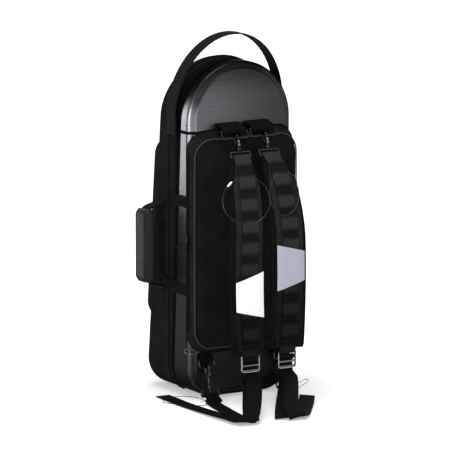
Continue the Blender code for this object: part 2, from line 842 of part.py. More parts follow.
def make_slider(name, seat, out, along, pivot=None):
    """A zip slider on its seat, and the pull that hangs from its ears, each on its own pivot."""
    across = along.cross(out)
    slide = pivot_at(f"{name}_slider_pivot", seat)
    if pivot:
        slide.parent = pivot
        slide.matrix_parent_inverse = Matrix.Translation(-pivot.location)
    middle = seat + out * SLIDER_THICKNESS / 2
    body = prism(
        f"{name}_slider", slider_outline(), middle, (across, along, out), SLIDER_THICKNESS, metal(), slide
    )
    ear_reach = PULL_NECK / 2 + FIT_GAP + EAR_WIDTH / 2
    sink = SLIDER_THICKNESS / 2
    for side in (-1, 1):
        ear = rounded_rectangle(EAR_WIDTH, EAR_LENGTH, EAR_WIDTH / 4, 1)
        place = middle + across * side * ear_reach + out * (sink + EAR_RISE) / 2
        unite(body, prism("ear", ear, place, (across, along, out), sink + EAR_RISE, metal(), slide))
    top = seat + out * (SLIDER_THICKNESS + FIT_GAP + PULL_THICKNESS / 2)
    hang = pivot_at(f"{name}_pull_pivot", top)
    if pivot:
        hang.parent = pivot
        hang.matrix_parent_inverse = Matrix.Translation(-pivot.location)
    pull = prism(f"{name}_pull", pull_outline(), top, (across, along, out), PULL_THICKNESS, metal(), hang)
    hole = arc((0, 0), PULL_HOLE_RADIUS, 0, 2 * math.pi * 7 / 8, 7)
    eye = top - along * (PULL_LENGTH - 2 * PULL_HOLE_RADIUS)
    cut(pull, prism("pull_hole", hole, eye, (across, along, out), PULL_THICKNESS + OVERRUN, metal(), hang))


def pull_outline():
    """The pull from above, hanging down from its neck."""
    neck, half = PULL_NECK / 2, PULL_WIDTH / 2
    right = [
        (neck, PULL_THICKNESS / 2),
        (neck, -PULL_NECK_LENGTH * 0.6),
        (half, -PULL_NECK_LENGTH),
        (half, -PULL_LENGTH + half / 2),
        (half / 2, -PULL_LENGTH),
    ]
    return right + [(-x, y) for x, y in reversed(right)]


def make_main_sliders():
    """Two sliders that meet halfway up the left side."""
    slope = (BACK_DEPTH_TOP - BACK_DEPTH_BASE) / CASE_HEIGHT
    along = Vector((0, slope, 1)).normalized()
    crest = HALF_WIDTH - BAND_INSET + TEETH_RISE + FIT_GAP
    for name, z in (("upper", UPPER_SLIDER_Z), ("lower", LOWER_SLIDER_Z)):
        make_slider(name, Vector((-crest, seam_y(z), z)), Vector((-1, 0, 0)), along)


def front_ring(inset, out):
    """One ring of the front pocket, parallel to the lid's front."""
    width, height = FRONT_WIDTH - 2 * inset, FRONT_TOP_Z - FRONT_BASE_Z - 2 * inset
    middle = (FRONT_TOP_Z + FRONT_BASE_Z) / 2
    outline = rounded_rectangle(width, height, FRONT_CORNER - inset, 5)
    return [Vector((x, lid_front_y(middle + z) + out, middle + z)) for x, z in outline]


def make_front_pocket(lid):
    """The accessory pocket on the lid, with piping round its back seam."""
    edge = FRONT_EDGE
    rings = [
        front_ring(0, FIT_GAP),
        front_ring(0, FRONT_DEPTH - edge),
        front_ring(edge * 0.3, FRONT_DEPTH - edge * 0.3),
        front_ring(edge, FRONT_DEPTH),
        front_ring(edge * 2, FRONT_DEPTH + FRONT_CROWN),
    ]
    loft("front_pocket", rings, pocket_cloth(), lid)
    outer = PIPING_RADIUS + FIT_GAP
    path = front_ring(-outer, PIPING_RADIUS + FIT_GAP)
    tube("front_pocket_piping", path, PIPING_RADIUS, piping_cord(), lid, loop=True, sides=6)


def make_front_zip(lid):
    """The front pocket's zip across its top gusset, with its slider and pull."""
    y = lid_front_y(FRONT_TOP_Z) + FRONT_DEPTH / 2
    z = FRONT_TOP_Z + FIT_GAP + FRONT_ZIP_THICKNESS / 2
    outline = rounded_rectangle(FRONT_ZIP_LENGTH, FRONT_ZIP_WIDTH, FRONT_ZIP_WIDTH / 4, 2)
    axes = ((1, 0, 0), (0, 1, 0), (0, 0, 1))
    prism("front_pocket_zip", outline, (0, y, z), axes, FRONT_ZIP_THICKNESS, zip_cloth(), lid)
    seat = Vector((FRONT_SLIDER_X, y, z + FRONT_ZIP_THICKNESS / 2 + FIT_GAP))
    make_slider("front", seat, Vector((0, 0, 1)), Vector((-1, 0, 0)), lid)


def make_top_handle(lid):
    """The webbing arch over the top, and the patches on the lid that its legs are tacked to."""
    pivot = pivot_at("top_handle_pivot", (0, HANDLE_Y, HANDLE_FOOT_Z - HANDLE_LEG / 2))
    arch = [(x, HANDLE_Y, z) for x, z in handle_arch()]
    across = [(0, 1, 0)] * len(arch)
    ribbon("top_handle", arch, across, HANDLE_WIDTH, HANDLE_THICKNESS, webbing_cloth(), pivot)
    for side, name in ((-1, "left"), (1, "right")):
        x = side * (HALF_WIDTH + FIT_GAP + HANDLE_PATCH_THICKNESS / 2)
        z = HANDLE_FOOT_Z - HANDLE_LEG / 2
        outline = rounded_rectangle(HANDLE_WIDTH, HANDLE_PATCH_HEIGHT, HANDLE_THICKNESS, 2)
        axes = ((0, 1, 0), (0, 0, 1), (1, 0, 0))
        place = (x, HANDLE_Y, z)
        prism(f"top_handle_{name}_patch", outline, place, axes, HANDLE_PATCH_THICKNESS, webbing_cloth(), lid)


def handle_arch():
    """Half an ellipse over the case on two straight legs, as (x, z) points."""
    half = HALF_WIDTH + HANDLE_PATCH_THICKNESS + 2 * FIT_GAP + HANDLE_THICKNESS / 2
    turns = [math.pi * i / 28 for i in range(29)]
    arch = [(half * math.cos(a), HANDLE_FOOT_Z + HANDLE_RISE * math.sin(a)) for a in turns]
    foot = HANDLE_FOOT_Z - HANDLE_LEG
    return [(half, foot), *arch, (-half, foot)]


def side_wall_x(lift):
    """A place outside the left wall, by so much."""
    return -HALF_WIDTH - lift


def grip_core_path():
    """The webbing through the grip, from the wall above it to the wall below it."""
    stack = LID_PIPING_RADIUS * 2 + SIDE_BAND_THICKNESS + 5 * FIT_GAP
    foot = side_wall_x(stack + GRIP_CORE_THICKNESS / 2)
    out = side_wall_x(GRIP_CLEARANCE + GRIP_THICKNESS / 2)
    reach, half = SIDE_ANCHOR_REACH, GRIP_LENGTH / 2
    bend = (out - foot) * 0.5
    points = [
        (foot, GRIP_Y, GRIP_Z + reach),
        (foot + bend * 0.35, GRIP_Y, GRIP_Z + reach - (reach - half) * 0.35),
        (out, GRIP_Y, GRIP_Z + half * 0.96),
        (out, GRIP_Y, GRIP_Z),
        (out, GRIP_Y, GRIP_Z - half * 0.96),
        (foot + bend * 0.35, GRIP_Y, GRIP_Z - reach + (reach - half) * 0.35),
        (foot, GRIP_Y, GRIP_Z - reach),
    ]
    return curve_through(points, 5)


def grip_section(share):
    """The grip's rounded section at a share of its length, drawn in at both ends."""
    ease = math.sqrt(max(0.0, 1 - (2 * share - 1) ** 8))
    width = GRIP_WIDTH - 2 * GRIP_EDGE * (1 - ease)
    thickness = GRIP_THICKNESS - GRIP_EDGE * (1 - ease)
    return rounded_rectangle(width, thickness, GRIP_EDGE * 0.8, 3)


def make_side_handle():
    """The padded side handle, which lies over the zip on its own webbing."""
    foot = side_wall_x(LID_PIPING_RADIUS * 2)
    pivot = pivot_at("side_handle_pivot", (foot, GRIP_Y, GRIP_Z))
    centre_x = side_wall_x(GRIP_CLEARANCE + GRIP_THICKNESS / 2)
    rings = []
    for share in (0, 0.04, 0.12, 0.3, 0.5, 0.7, 0.88, 0.96, 1):
        z = GRIP_Z + GRIP_LENGTH * (share - 0.5)
        rings.append([(centre_x + v, GRIP_Y + u, z) for u, v in grip_section(share)])
    grip = loft("side_handle_grip", rings, grip_vinyl(), pivot)
    path = grip_core_path()
    across = [(0, 1, 0)] * len(path)
    slot = ribbon(
        "grip_slot",
        path,
        across,
        GRIP_CORE_WIDTH + 2 * FIT_GAP,
        GRIP_CORE_THICKNESS + 2 * FIT_GAP,
        grip_vinyl(),
        pivot,
    )
    cut(grip, slot)
    ribbon(
        "side_handle_webbing", path, across, GRIP_CORE_WIDTH, GRIP_CORE_THICKNESS, webbing_cloth(), pivot
    )


def make_side_bands(lid):
    """The two bands that run from the handle's feet across the zip to the pocket's gusset."""
    x = side_wall_x(FIT_GAP + SIDE_BAND_THICKNESS / 2)
    over = side_wall_x(LID_PIPING_RADIUS * 2 + FIT_GAP * 3 + SIDE_BAND_THICKNESS / 2)
    end = FACE_Y + POCKET_WRAP + 3 * FIT_GAP
    hump = LID_PIPING_RADIUS * 2.4
    hump_foot = LID_PIPING_RADIUS * 7.8
    for name, rise, slant in (("upper", UPPER_BAND_RISE, BAND_SLANT), ("lower", -LOWER_BAND_DROP, -BAND_SLANT)):
        z = GRIP_Z + rise
        places = (
            (x, SIDE_BAND_END_Y, z - slant),
            (x, LID_PIPING_Y + hump_foot, z - slant * 0.7),
            (over, LID_PIPING_Y + hump, z - slant * 0.5),
            (over, LID_PIPING_Y - hump, z - slant * 0.4),
            (x, LID_PIPING_Y - hump_foot, z - slant * 0.2),
            (x, end, z),
        )
        path = curve_through(places, 1)
        across = [(0, 0, 1)] * len(path)
        ribbon(f"side_band_{name}", path, across, SIDE_BAND_WIDTH, SIDE_BAND_THICKNESS, webbing_cloth(), lid)


def tab_path(seat_y, seat_z, reach, dip, bar):
    """A folded webbing tab: out from the face, round a bar, and back."""
    fold = TAB_FOLD
    place = Vector((seat_y - reach, seat_z - dip))
    turns = [math.pi * 0.5 + math.pi * i / 6 for i in range(7)]
    nose = [(place.x + fold * math.cos(a), place.y + fold * math.sin(a)) for a in turns]
    points = [(seat_y, seat_z + fold), *nose, (seat_y, seat_z - fold)]
    slack = fold - TAB_THICKNESS / 2 - RING_WIRE - 2 * FIT_GAP
    return [(bar, y, z) for y, z in points], place - Vector((slack, 0))


def ring_path(x, top, bottom, tab_width):
    """A rectangular wire ring that clears the tab's edges, as points round it."""
    width = tab_width + 2 * (RING_CLEARANCE + RING_WIRE)
    top, bottom = Vector((x, top.x, top.y)), Vector((x, bottom.x, bottom.y))
    down = bottom - top
    outline = rounded_rectangle(width, down.length, RING_WIRE * 1.6, 2)
    middle = (top + bottom) / 2
    return [middle + Vector((1, 0, 0)) * u - down.normalized() * v for u, v in outline]


def make_top_tab(name, side):
    """An upper tab with its ring. Returns the centre of the ring's lower bar."""
    x = side * TAB_X
    path, nose = tab_path(FACE_Y - FIT_GAP - TAB_THICKNESS / 2, TAB_Z, TAB_REACH, TAB_DIP, x)
    across = [(1, 0, 0)] * len(path)
    ribbon(f"{name}_top_tab", path, across, TAB_WIDTH, TAB_THICKNESS, webbing_cloth())
    bar = Vector((nose.x - RING_LEAN, nose.y - RING_DROP))
    tube(f"{name}_top_ring", ring_path(x, nose, bar, TAB_WIDTH), RING_WIRE, metal(), loop=True)
    return Vector((x, bar.x, bar.y))


def make_foot_tab(name, side):
    """A lower tab with its ring. Returns the centre of the ring's lower bar."""
    x = side * FOOT_TAB_X
    path, nose = tab_path(
        FACE_Y - FIT_GAP - TAB_THICKNESS / 2, FOOT_TAB_Z, FOOT_TAB_REACH, FOOT_TAB_DIP, x
    )
    across = [(1, 0, 0)] * len(path)
    ribbon(f"{name}_foot_tab", path, across, FOOT_TAB_WIDTH, TAB_THICKNESS, webbing_cloth())
    bar = Vector((nose.x - RING_LEAN / 2, nose.y - RING_DROP))
    tube(f"{name}_foot_ring", ring_path(x, nose, bar, FOOT_TAB_WIDTH), RING_WIRE, metal(), loop=True)
    return Vector((x, bar.x, bar.y))


class HookFrame:
    """Places a snap hook: out points away from the case, and down runs along the hook."""

    def __init__(self, bar, lean, neck):
        self.bar = bar
        self.lean = lean
        self.neck = neck
        self.out = Vector((0, -math.cos(lean), math.sin(lean)))
        self.down = Vector((0, -math.sin(lean), -math.cos(lean)))
        self.crown = HOOK_WIRE + FIT_GAP + RING_WIRE - HOOK_BEND

    def at(self, out, down, x=0.0):
        """A point by its distances from the middle of the hook's bend."""
        middle = self.bar - self.down * self.crown
        return middle + self.out * out + self.down * down + Vector((x, 0, 0))

    def stem_end(self):
        return HOOK_STEM + HOOK_TAPER + self.neck

    def eye_bar(self):
        """How far down the eye's far bar lies."""
        return self.stem_end() + BARREL_LENGTH + SWIVEL_LENGTH + EYE_INSIDE_HEIGHT + 3 * EYE_WIRE


def hook_wire_path(frame):
    """From the hook's tip over the bend and down the back to the barrel."""
    points = [frame.at(HOOK_BEND, HOOK_TIP)]
    for u, v in arc((0, 0), HOOK_BEND, 0, math.pi, 8):
        points.append(frame.at(u, -v))
    points.append(frame.at(-HOOK_BEND, HOOK_STEM * 0.6))
    points.append(frame.at(-HOOK_BEND * 0.8, HOOK_STEM))
    points.append(frame.at(0, HOOK_STEM + HOOK_TAPER))
    points.append(frame.at(0, frame.stem_end() + BARREL_LENGTH / 2))
    return points


def barrel_profile(frame):
    """Places down the hook and radii of the barrel and the swivel pin."""
    start = frame.stem_end()
    end = start + BARREL_LENGTH
    pin = BARREL_RADIUS * 0.5
    flare = BARREL_RADIUS * 0.8
    return [
        (start - BARREL_LENGTH * 0.2, flare),
        (start, BARREL_RADIUS),
        (end - BARREL_LENGTH * 0.2, BARREL_RADIUS),
        (end, flare),
        (end + FIT_GAP, pin),
        (end + SWIVEL_LENGTH + EYE_WIRE, pin),
    ]


def make_hook(name, bar, lean, neck, web_width):
    """A swivel snap hook with its eye and its gate. Returns the frame and the pivot."""
    frame = HookFrame(bar, lean, neck)
    pivot = pivot_at(f"{name}_hook_pivot", bar)
    hook = tube(f"{name}_hook", hook_wire_path(frame), HOOK_WIRE, metal(), pivot)
    profile = barrel_profile(frame)
    path = [frame.at(0, place) for place, _ in profile]
    unite(hook, tube("barrel", path, [radius for _, radius in profile], metal(), pivot, sides=12))
    top = profile[-1][0] - EYE_WIRE / 2
    width = web_width + EYE_MARGIN + 2 * EYE_WIRE
    height = EYE_INSIDE_HEIGHT + 2 * EYE_WIRE
    outline = rounded_rectangle(width, height, EYE_CORNER, 3)
    eye = [frame.at(0, top + height / 2 + v, u) for u, v in outline]
    unite(hook, tube("eye", eye, EYE_WIRE, metal(), pivot, loop=True))
    make_gate(name, frame)
    return frame, pivot


def gate_ends(frame):
    """The gate's hinge end and its tip end, as distances out and down."""
    hinge = (HOOK_WIRE + GATE_THICKNESS, HOOK_STEM + HOOK_TAPER * 0.6)
    tip = (HOOK_BEND, HOOK_TIP + HOOK_WIRE * 0.4 + FIT_GAP)
    return hinge, tip


def make_gate(name, frame):
    """The sprung flat gate that closes the hook's mouth."""
    hinge, tip = gate_ends(frame)
    low, high = frame.at(*hinge), frame.at(*tip)
    pivot = pivot_at(f"{name}_gate_pivot", low)
    way = (high - low).normalized()
    across = Vector((1, 0, 0))
    outline = rounded_rectangle(GATE_WIDTH, (high - low).length, GATE_THICKNESS / 2, 2)
    axes = (across, way, across.cross(way))
    prism(f"{name}_gate", outline, (low + high) / 2, axes, GATE_THICKNESS, metal(), pivot)


def eye_middle(frame):
    """The middle of the eye's opening, as a distance down the hook."""
    return barrel_profile(frame)[-1][0] - EYE_WIRE / 2 + EYE_WIRE + EYE_INSIDE_HEIGHT / 2


def pad_centre(side, z):
    """The middle of a shoulder pad at a height: it bows out from the case and widens below."""
    share = (PAD_TOP_Z - z) / (PAD_TOP_Z - PAD_BASE_Z)
    bow = 1 - (1 - min(1.0, share * 2.4)) ** 2
    out = PAD_TOP_OUT + (PAD_MID_OUT - PAD_TOP_OUT) * bow
    lean = math.sin(math.pi * min(1.0, share)) ** 0.8 if share > 0 else 0.0
    x = PAD_TOP_X + (PAD_BASE_X - PAD_TOP_X) * share + (PAD_MID_X - PAD_TOP_X) * lean
    return Vector((side * x, FACE_Y - out, z))


def pad_width(z):
    """The pad narrows through its shoulder to a neck, and a little at its foot."""
    down = PAD_TOP_Z - z
    neck = PAD_NECK_WIDTH
    if down < neck:
        return neck + (PAD_SHOULDER_WIDTH - neck) * down / neck
    below = min(1.0, (down - neck) / (2 * neck))
    return PAD_SHOULDER_WIDTH + (PAD_WIDTH - PAD_SHOULDER_WIDTH) * below


def pad_section(width, thickness):
    """A pad's section as (across, out) points: flat in the middle, thin at its bound edges."""
    half, deep = width / 2, thickness / 2
    right = [(0.46, 1.0), (0.72, 0.9), (0.92, 0.58), (1.0, 0.22)]
    front = [(half * u, deep * v) for u, v in right]
    upper = front[::-1] + [(-u, v) for u, v in front]
    return upper + [(u, -v) for u, v in reversed(upper)]


def pad_frame(side, z):
    """The pad's centre at a height, with its across, out and up directions there."""
    step = PAD_THICKNESS
    way = (pad_centre(side, z + step) - pad_centre(side, z - step)).normalized()
    across = Vector((1, 0, 0))
    across = (across - way * across.dot(way)).normalized()
    return pad_centre(side, z), across, across.cross(way) * -1


def pad_heights(steps):
    return [PAD_TOP_Z + (PAD_BASE_Z - PAD_TOP_Z) * i / steps for i in range(steps + 1)]


def make_pad(name, side, pivot):
    """A shoulder pad: a crowned, bowed cushion with drawn in ends."""
    rings = []
    steps = 20
    for i, z in enumerate(pad_heights(steps)):
        centre, across, out = pad_frame(side, z)
        end = min(i, steps - i)
        thickness = PAD_THICKNESS * (0.45 if end == 0 else 0.85 if end == 1 else 1.0)
        out = -out if out.y > 0 else out
        rings.append([centre + across * u + out * v for u, v in pad_section(pad_width(z), thickness)])
    loft(f"{name}_pad", rings, pocket_cloth(), pivot)


def on_pad(side, z, lift):
    """A point so far in front of the pad's outer face."""
    centre, across, out = pad_frame(side, z)
    out = -out if out.y > 0 else out
    return centre + out * (PAD_THICKNESS / 2 + lift)


def wrap_round(bar, far, end, reach):
    """Points round a bar: from its far side, past the side away from end, to its near side."""
    turns = [math.pi * i / 4 for i in range(5)]
    return [bar + (far * -math.cos(a) - end * math.sin(a)) * reach for a in turns]


def make_pad_webbing(name, side, frame, pivot, lock_top):
    """The webbing down the pad: through the hook's eye, tacked in loops, and round the lock's bar."""
    seat = FIT_GAP + WEB_THICKNESS / 2
    far = frame.at(0, eye_middle(frame) + EYE_INSIDE_HEIGHT / 2 + EYE_WIRE)
    points = wrap_round(far, frame.out, frame.down, EYE_WIRE + WEB_THICKNESS)
    start = PAD_TOP_Z - PAD_NECK_WIDTH / 4
    span = (start - PAD_BASE_Z - PAD_THICKNESS) / WEB_SEGMENTS
    for i in range(WEB_SEGMENTS + 1):
        z = start - span * i
        points.append(on_pad(side, z, seat))
        if i < WEB_SEGMENTS:
            points.append(on_pad(side, z - span / 2, seat + WEB_SWELL))
    bar = LOCK_THICKNESS / 2 + WEB_THICKNESS
    points += wrap_round(lock_top, Vector((0, 1, 0)), Vector((0, 0, 1)), bar)
    path = curve_through(points, 2)
    across = [(1, 0, 0)] * len(path)
    ribbon(f"{name}_pad_webbing", path, across, WEB_WIDTH, WEB_THICKNESS, webbing_cloth(), pivot)


def make_reflector(name, side, z_middle, colour, pivot):
    """A reflective patch across the pad, longer towards the other pad."""
    seat = FIT_GAP + WEB_SWELL + WEB_THICKNESS + FIT_GAP
    rings = []
    steps = 6
    for i in range(steps + 1):
        share = i / steps
        ring = []
        for edge, lift in ((-1, 0), (1, 0), (1, PATCH_THICKNESS), (-1, PATCH_THICKNESS)):
            inner = PATCH_LONG if edge * side < 0 else PATCH_SHORT
            z = z_middle + inner * (share - 0.5)
            centre, across, out = pad_frame(side, z)
            out = -out if out.y > 0 else out
            ring.append(centre + across * edge * PATCH_WIDTH / 2 + out * (PAD_THICKNESS / 2 + seat + lift))
        rings.append(ring)
    loft(f"{name}_reflector", rings, reflective(f"{name}_reflective", colour), pivot)


def lock_top_bar(side):
    """The middle of the ladder lock's top bar, just below the pad's foot."""
    foot = on_pad(side, PAD_BASE_Z, 0)
    return Vector((foot.x, foot.y + PAD_THICKNESS / 4, PAD_BASE_Z - PAD_THICKNESS / 2))


def make_ladder_lock(name, side, top):
    """A metal ladder lock: a frame with two inner bars and a lip with an oval hole."""
    pivot = pivot_at(f"{name}_lock_pivot", top)
    middle = top + Vector((0, 0, LOCK_BAR / 2 - LOCK_HEIGHT / 2))
    axes = ((1, 0, 0), (0, 0, 1), (0, 1, 0))
    outline = rounded_rectangle(LOCK_WIDTH, LOCK_HEIGHT, LOCK_CORNER, 3)
    lock = prism(f"{name}_ladder_lock", outline, middle, axes, LOCK_THICKNESS, metal(), pivot)
    slot = rounded_rectangle(LOCK_WIDTH - 2 * LOCK_RAIL, LOCK_SLOT, LOCK_SLOT / 4, 2)
    for i in range(3):
        down = LOCK_BAR / 2 + LOCK_SLOT / 2 + (LOCK_SLOT + LOCK_BAR) * i
        place = top - Vector((0, 0, down))
        cut(lock, prism("slot", slot, place, axes, LOCK_THICKNESS + OVERRUN, metal(), pivot))
    hole = [(LOCK_LIP_HOLE * 2 * u, LOCK_LIP_HOLE / 2 * v) for u, v in arc((0, 0), 1, 0, 2 * math.pi * 11 / 12, 11)]
    place = top - Vector((0, 0, LOCK_HEIGHT - LOCK_BAR / 2 - LOCK_LIP_HOLE))
    cut(lock, prism("lip_hole", hole, place, axes, LOCK_THICKNESS + OVERRUN, metal(), pivot))


def lock_threading(top):
    """The webbing's way through the lock: up behind it, round the second bar and down in front."""
    bar_z = top.z - 2 * (LOCK_SLOT + LOCK_BAR)
    behind = LOCK_THICKNESS / 2 + STRAP_THICKNESS
    low = top.z - LOCK_HEIGHT
    bar = Vector((top.x, top.y, bar_z))
    reach = LOCK_THICKNESS / 2 + STRAP_THICKNESS + FIT_GAP
    return [
        (top.x, top.y + behind, low - LOCK_SLOT * 2),
        (top.x, top.y + behind * 1.5, low + LOCK_SLOT / 2),
        *wrap_round(bar, Vector((0, -1, 0)), Vector((0, 0, -1)), reach),
        (top.x, top.y - behind * 1.5, low + LOCK_SLOT / 2),
        (top.x, top.y - behind * 2.4, low - LOCK_SLOT),
    ]


# Routes of the loose webbing over the floor: across and out as shares of the floor reach, and the
# lift as a share of the strap's thickness. The run goes from the lower hook to the first fold,
# the turn is that fold, the fall is the second fold, and the tail ends free.
LEFT_RUN_SHARES = ((-0.33, -0.30, 0), (-0.38, -0.52, 0), (-0.42, -0.78, 0))
LEFT_TURN_SHARES = ((-0.425, -0.95, 0), (-0.425, -0.985, 2.6), (-0.41, -0.94, 6))
LEFT_FALL_SHARES = ((-0.44, -1.00, 9), (-0.49, -1.04, 5.5), (-0.51, -1.01, 3))
LEFT_TAIL_SHARES = ((-0.52, -0.85, 2.4), (-0.53, -0.55, 1), (-0.53, -0.25, 0), (-0.52, 0.06, 0))
RIGHT_RUN_SHARES = ((0.20, -0.38, 0), (0.02, -0.68, 0), (-0.13, -0.90, 0))
RIGHT_TURN_SHARES = ((-0.18, -0.975, 0), (-0.195, -1.00, 2.6), (-0.175, -0.965, 6))
RIGHT_FALL_SHARES = ((-0.12, -1.00, 9), (-0.125, -1.055, 5.5), (-0.10, -1.05, 2))
RIGHT_TAIL_SHARES = ((-0.02, -0.96, 0.6), (0.10, -0.80, 1), (0.20, -0.66, 3), (0.275, -0.55, 5))


def floor_points(shares):
    """Points on or above the floor from shares of the reach and of the strap's thickness."""
    lowest = STRAP_THICKNESS / 2 + STRAP_LIFT
    reach = STRAP_FLOOR_LENGTH
    return [(x * reach, y * reach, lowest + lift * STRAP_THICKNESS) for x, y, lift in shares]


def make_strap_webbing(name, side, eye, top):
    """The loose webbing from the lower hook, over the floor, through the lock, to its free end."""
    run, turn, fall, tail = (
        (LEFT_RUN_SHARES, LEFT_TURN_SHARES, LEFT_FALL_SHARES, LEFT_TAIL_SHARES)
        if side < 0
        else (RIGHT_RUN_SHARES, RIGHT_TURN_SHARES, RIGHT_FALL_SHARES, RIGHT_TAIL_SHARES)
    )
    points = [
        *hook_wrap(eye),
        *floor_points(run),
        *floor_points(turn),
        *lock_threading(top),
        *floor_points(fall),
        *floor_points(tail),
    ]
    path = curve_through(points, 4)
    across = [(1, 0, 0)] * len(path)
    ribbon(
        f"{name}_strap_webbing", path, across, STRAP_WIDTH, STRAP_THICKNESS, webbing_cloth(), floor=STRAP_LIFT
    )


def hook_wrap(eye):
    """Round the lower hook's eye and away from it along the floor."""
    wrap = EYE_WIRE + 2 * FIT_GAP + STRAP_THICKNESS
    return [
        eye + Vector((0, wrap, -wrap * 0.5)),
        eye + Vector((0, wrap * 0.6, wrap * 0.8)),
        eye + Vector((0, -wrap * 0.8, wrap * 0.6)),
        eye + Vector((0, -wrap * 1.8, -wrap * 0.4)),
        eye + Vector((0, -wrap * 3.5, -wrap * 0.8)),
    ]


def make_strap(name, side, patch_z, patch_colour):
    """One shoulder strap: tab, ring, hook, pad, webbing, patch and ladder lock."""
    bar = make_top_tab(name, side)
    frame, pivot = make_hook(f"{name}_upper", bar, math.pi * UPPER_HOOK_LEAN_SHARE, 0.0, WEB_WIDTH)
    make_pad(name, side, pivot)
    top = lock_top_bar(side)
    make_pad_webbing(name, side, frame, pivot, top)
    make_reflector(name, side, patch_z, patch_colour, pivot)
    make_ladder_lock(name, side, top)
    foot_bar = make_foot_tab(name, side)
    lean = math.pi * FOOT_HOOK_LEAN_SHARE
    foot, _ = make_hook(f"{name}_lower", foot_bar, lean, FOOT_HOOK_NECK, STRAP_WIDTH)
    eye = foot.at(0, eye_middle(foot) + EYE_INSIDE_HEIGHT / 2 + EYE_WIRE)
    make_strap_webbing(name, side, eye, top)


def main():
    clear_scene()
    lid = pivot_at("lid_pivot", (HALF_WIDTH + HINGE_AXIS_OUT, seam_y(0), 0))
    make_back_shell()
    make_zip_tapes(lid)
    make_hinge_strip()
    make_lid_shell(lid)
    make_lid_piping(lid)
    make_lid_lining(lid)
    make_foam_bed()
    make_instrument_stay()
    make_mouthpiece_block()
    make_music_pocket()
    make_music_zip()
    make_main_sliders()
    make_front_pocket(lid)
    make_front_zip(lid)
    make_top_handle(lid)
    make_side_handle()
    make_side_bands(lid)
    make_strap("left", -1, LEFT_PATCH_Z, (0.85, 0.86, 0.87))
    make_strap("right", 1, RIGHT_PATCH_Z, (0.38, 0.41, 0.44))


main()
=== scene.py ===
"""Looks of a backpack trumpet case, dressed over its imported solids.

Each sub-assembly is a class that holds its sizes and builds its own meshes. Lengths are in
metres, in the frame of the solids: X to the right of someone who faces the harness, Y from
the harness to the lid, and Z up from the floor.
"""

import logging
import math
from collections.abc import Callable, Iterable, Sequence
from dataclasses import dataclass
from enum import Enum

import bmesh
import bpy
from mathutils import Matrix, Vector, noise


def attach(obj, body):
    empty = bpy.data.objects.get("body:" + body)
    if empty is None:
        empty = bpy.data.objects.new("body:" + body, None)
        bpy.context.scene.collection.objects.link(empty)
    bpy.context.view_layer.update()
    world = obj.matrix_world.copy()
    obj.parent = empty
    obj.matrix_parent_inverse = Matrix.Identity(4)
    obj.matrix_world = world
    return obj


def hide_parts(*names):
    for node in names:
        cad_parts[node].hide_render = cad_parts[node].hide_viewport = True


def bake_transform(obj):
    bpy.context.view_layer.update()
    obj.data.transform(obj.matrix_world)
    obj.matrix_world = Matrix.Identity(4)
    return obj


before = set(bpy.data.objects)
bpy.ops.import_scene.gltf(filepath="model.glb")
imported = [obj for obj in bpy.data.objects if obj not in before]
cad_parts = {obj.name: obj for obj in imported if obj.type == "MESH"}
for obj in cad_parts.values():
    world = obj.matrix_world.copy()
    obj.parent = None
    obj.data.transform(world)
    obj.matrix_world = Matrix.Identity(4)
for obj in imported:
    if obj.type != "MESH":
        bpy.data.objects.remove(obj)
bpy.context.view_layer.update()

LOG = logging.getLogger("trumpet_case")

Socket = bpy.types.NodeSocket
Flat = tuple[float, float]
Triple = tuple[float, float, float]
Station = Callable[[float], float]
Ring = list[Vector]
Inputs = dict[str | int, object]

RIGHTWARD = Vector((1, 0, 0))
LIDWARD = Vector((0, 1, 0))
UPWARD = Vector((0, 0, 1))
QUARTER = math.pi / 2


class Side(Enum):
    """The two shoulder straps, as someone who faces the harness sees them."""

    LEFT = -1
    RIGHT = 1

    @property
    def word(self) -> str:
        """The side's name, as the solids' names use it."""
        return self.name.lower()


class Coordinates(Enum):
    """Where a finish takes its pattern from."""

    SOLID = "places in the case's frame"
    BAND = "distances along and across a band"


# Finishes


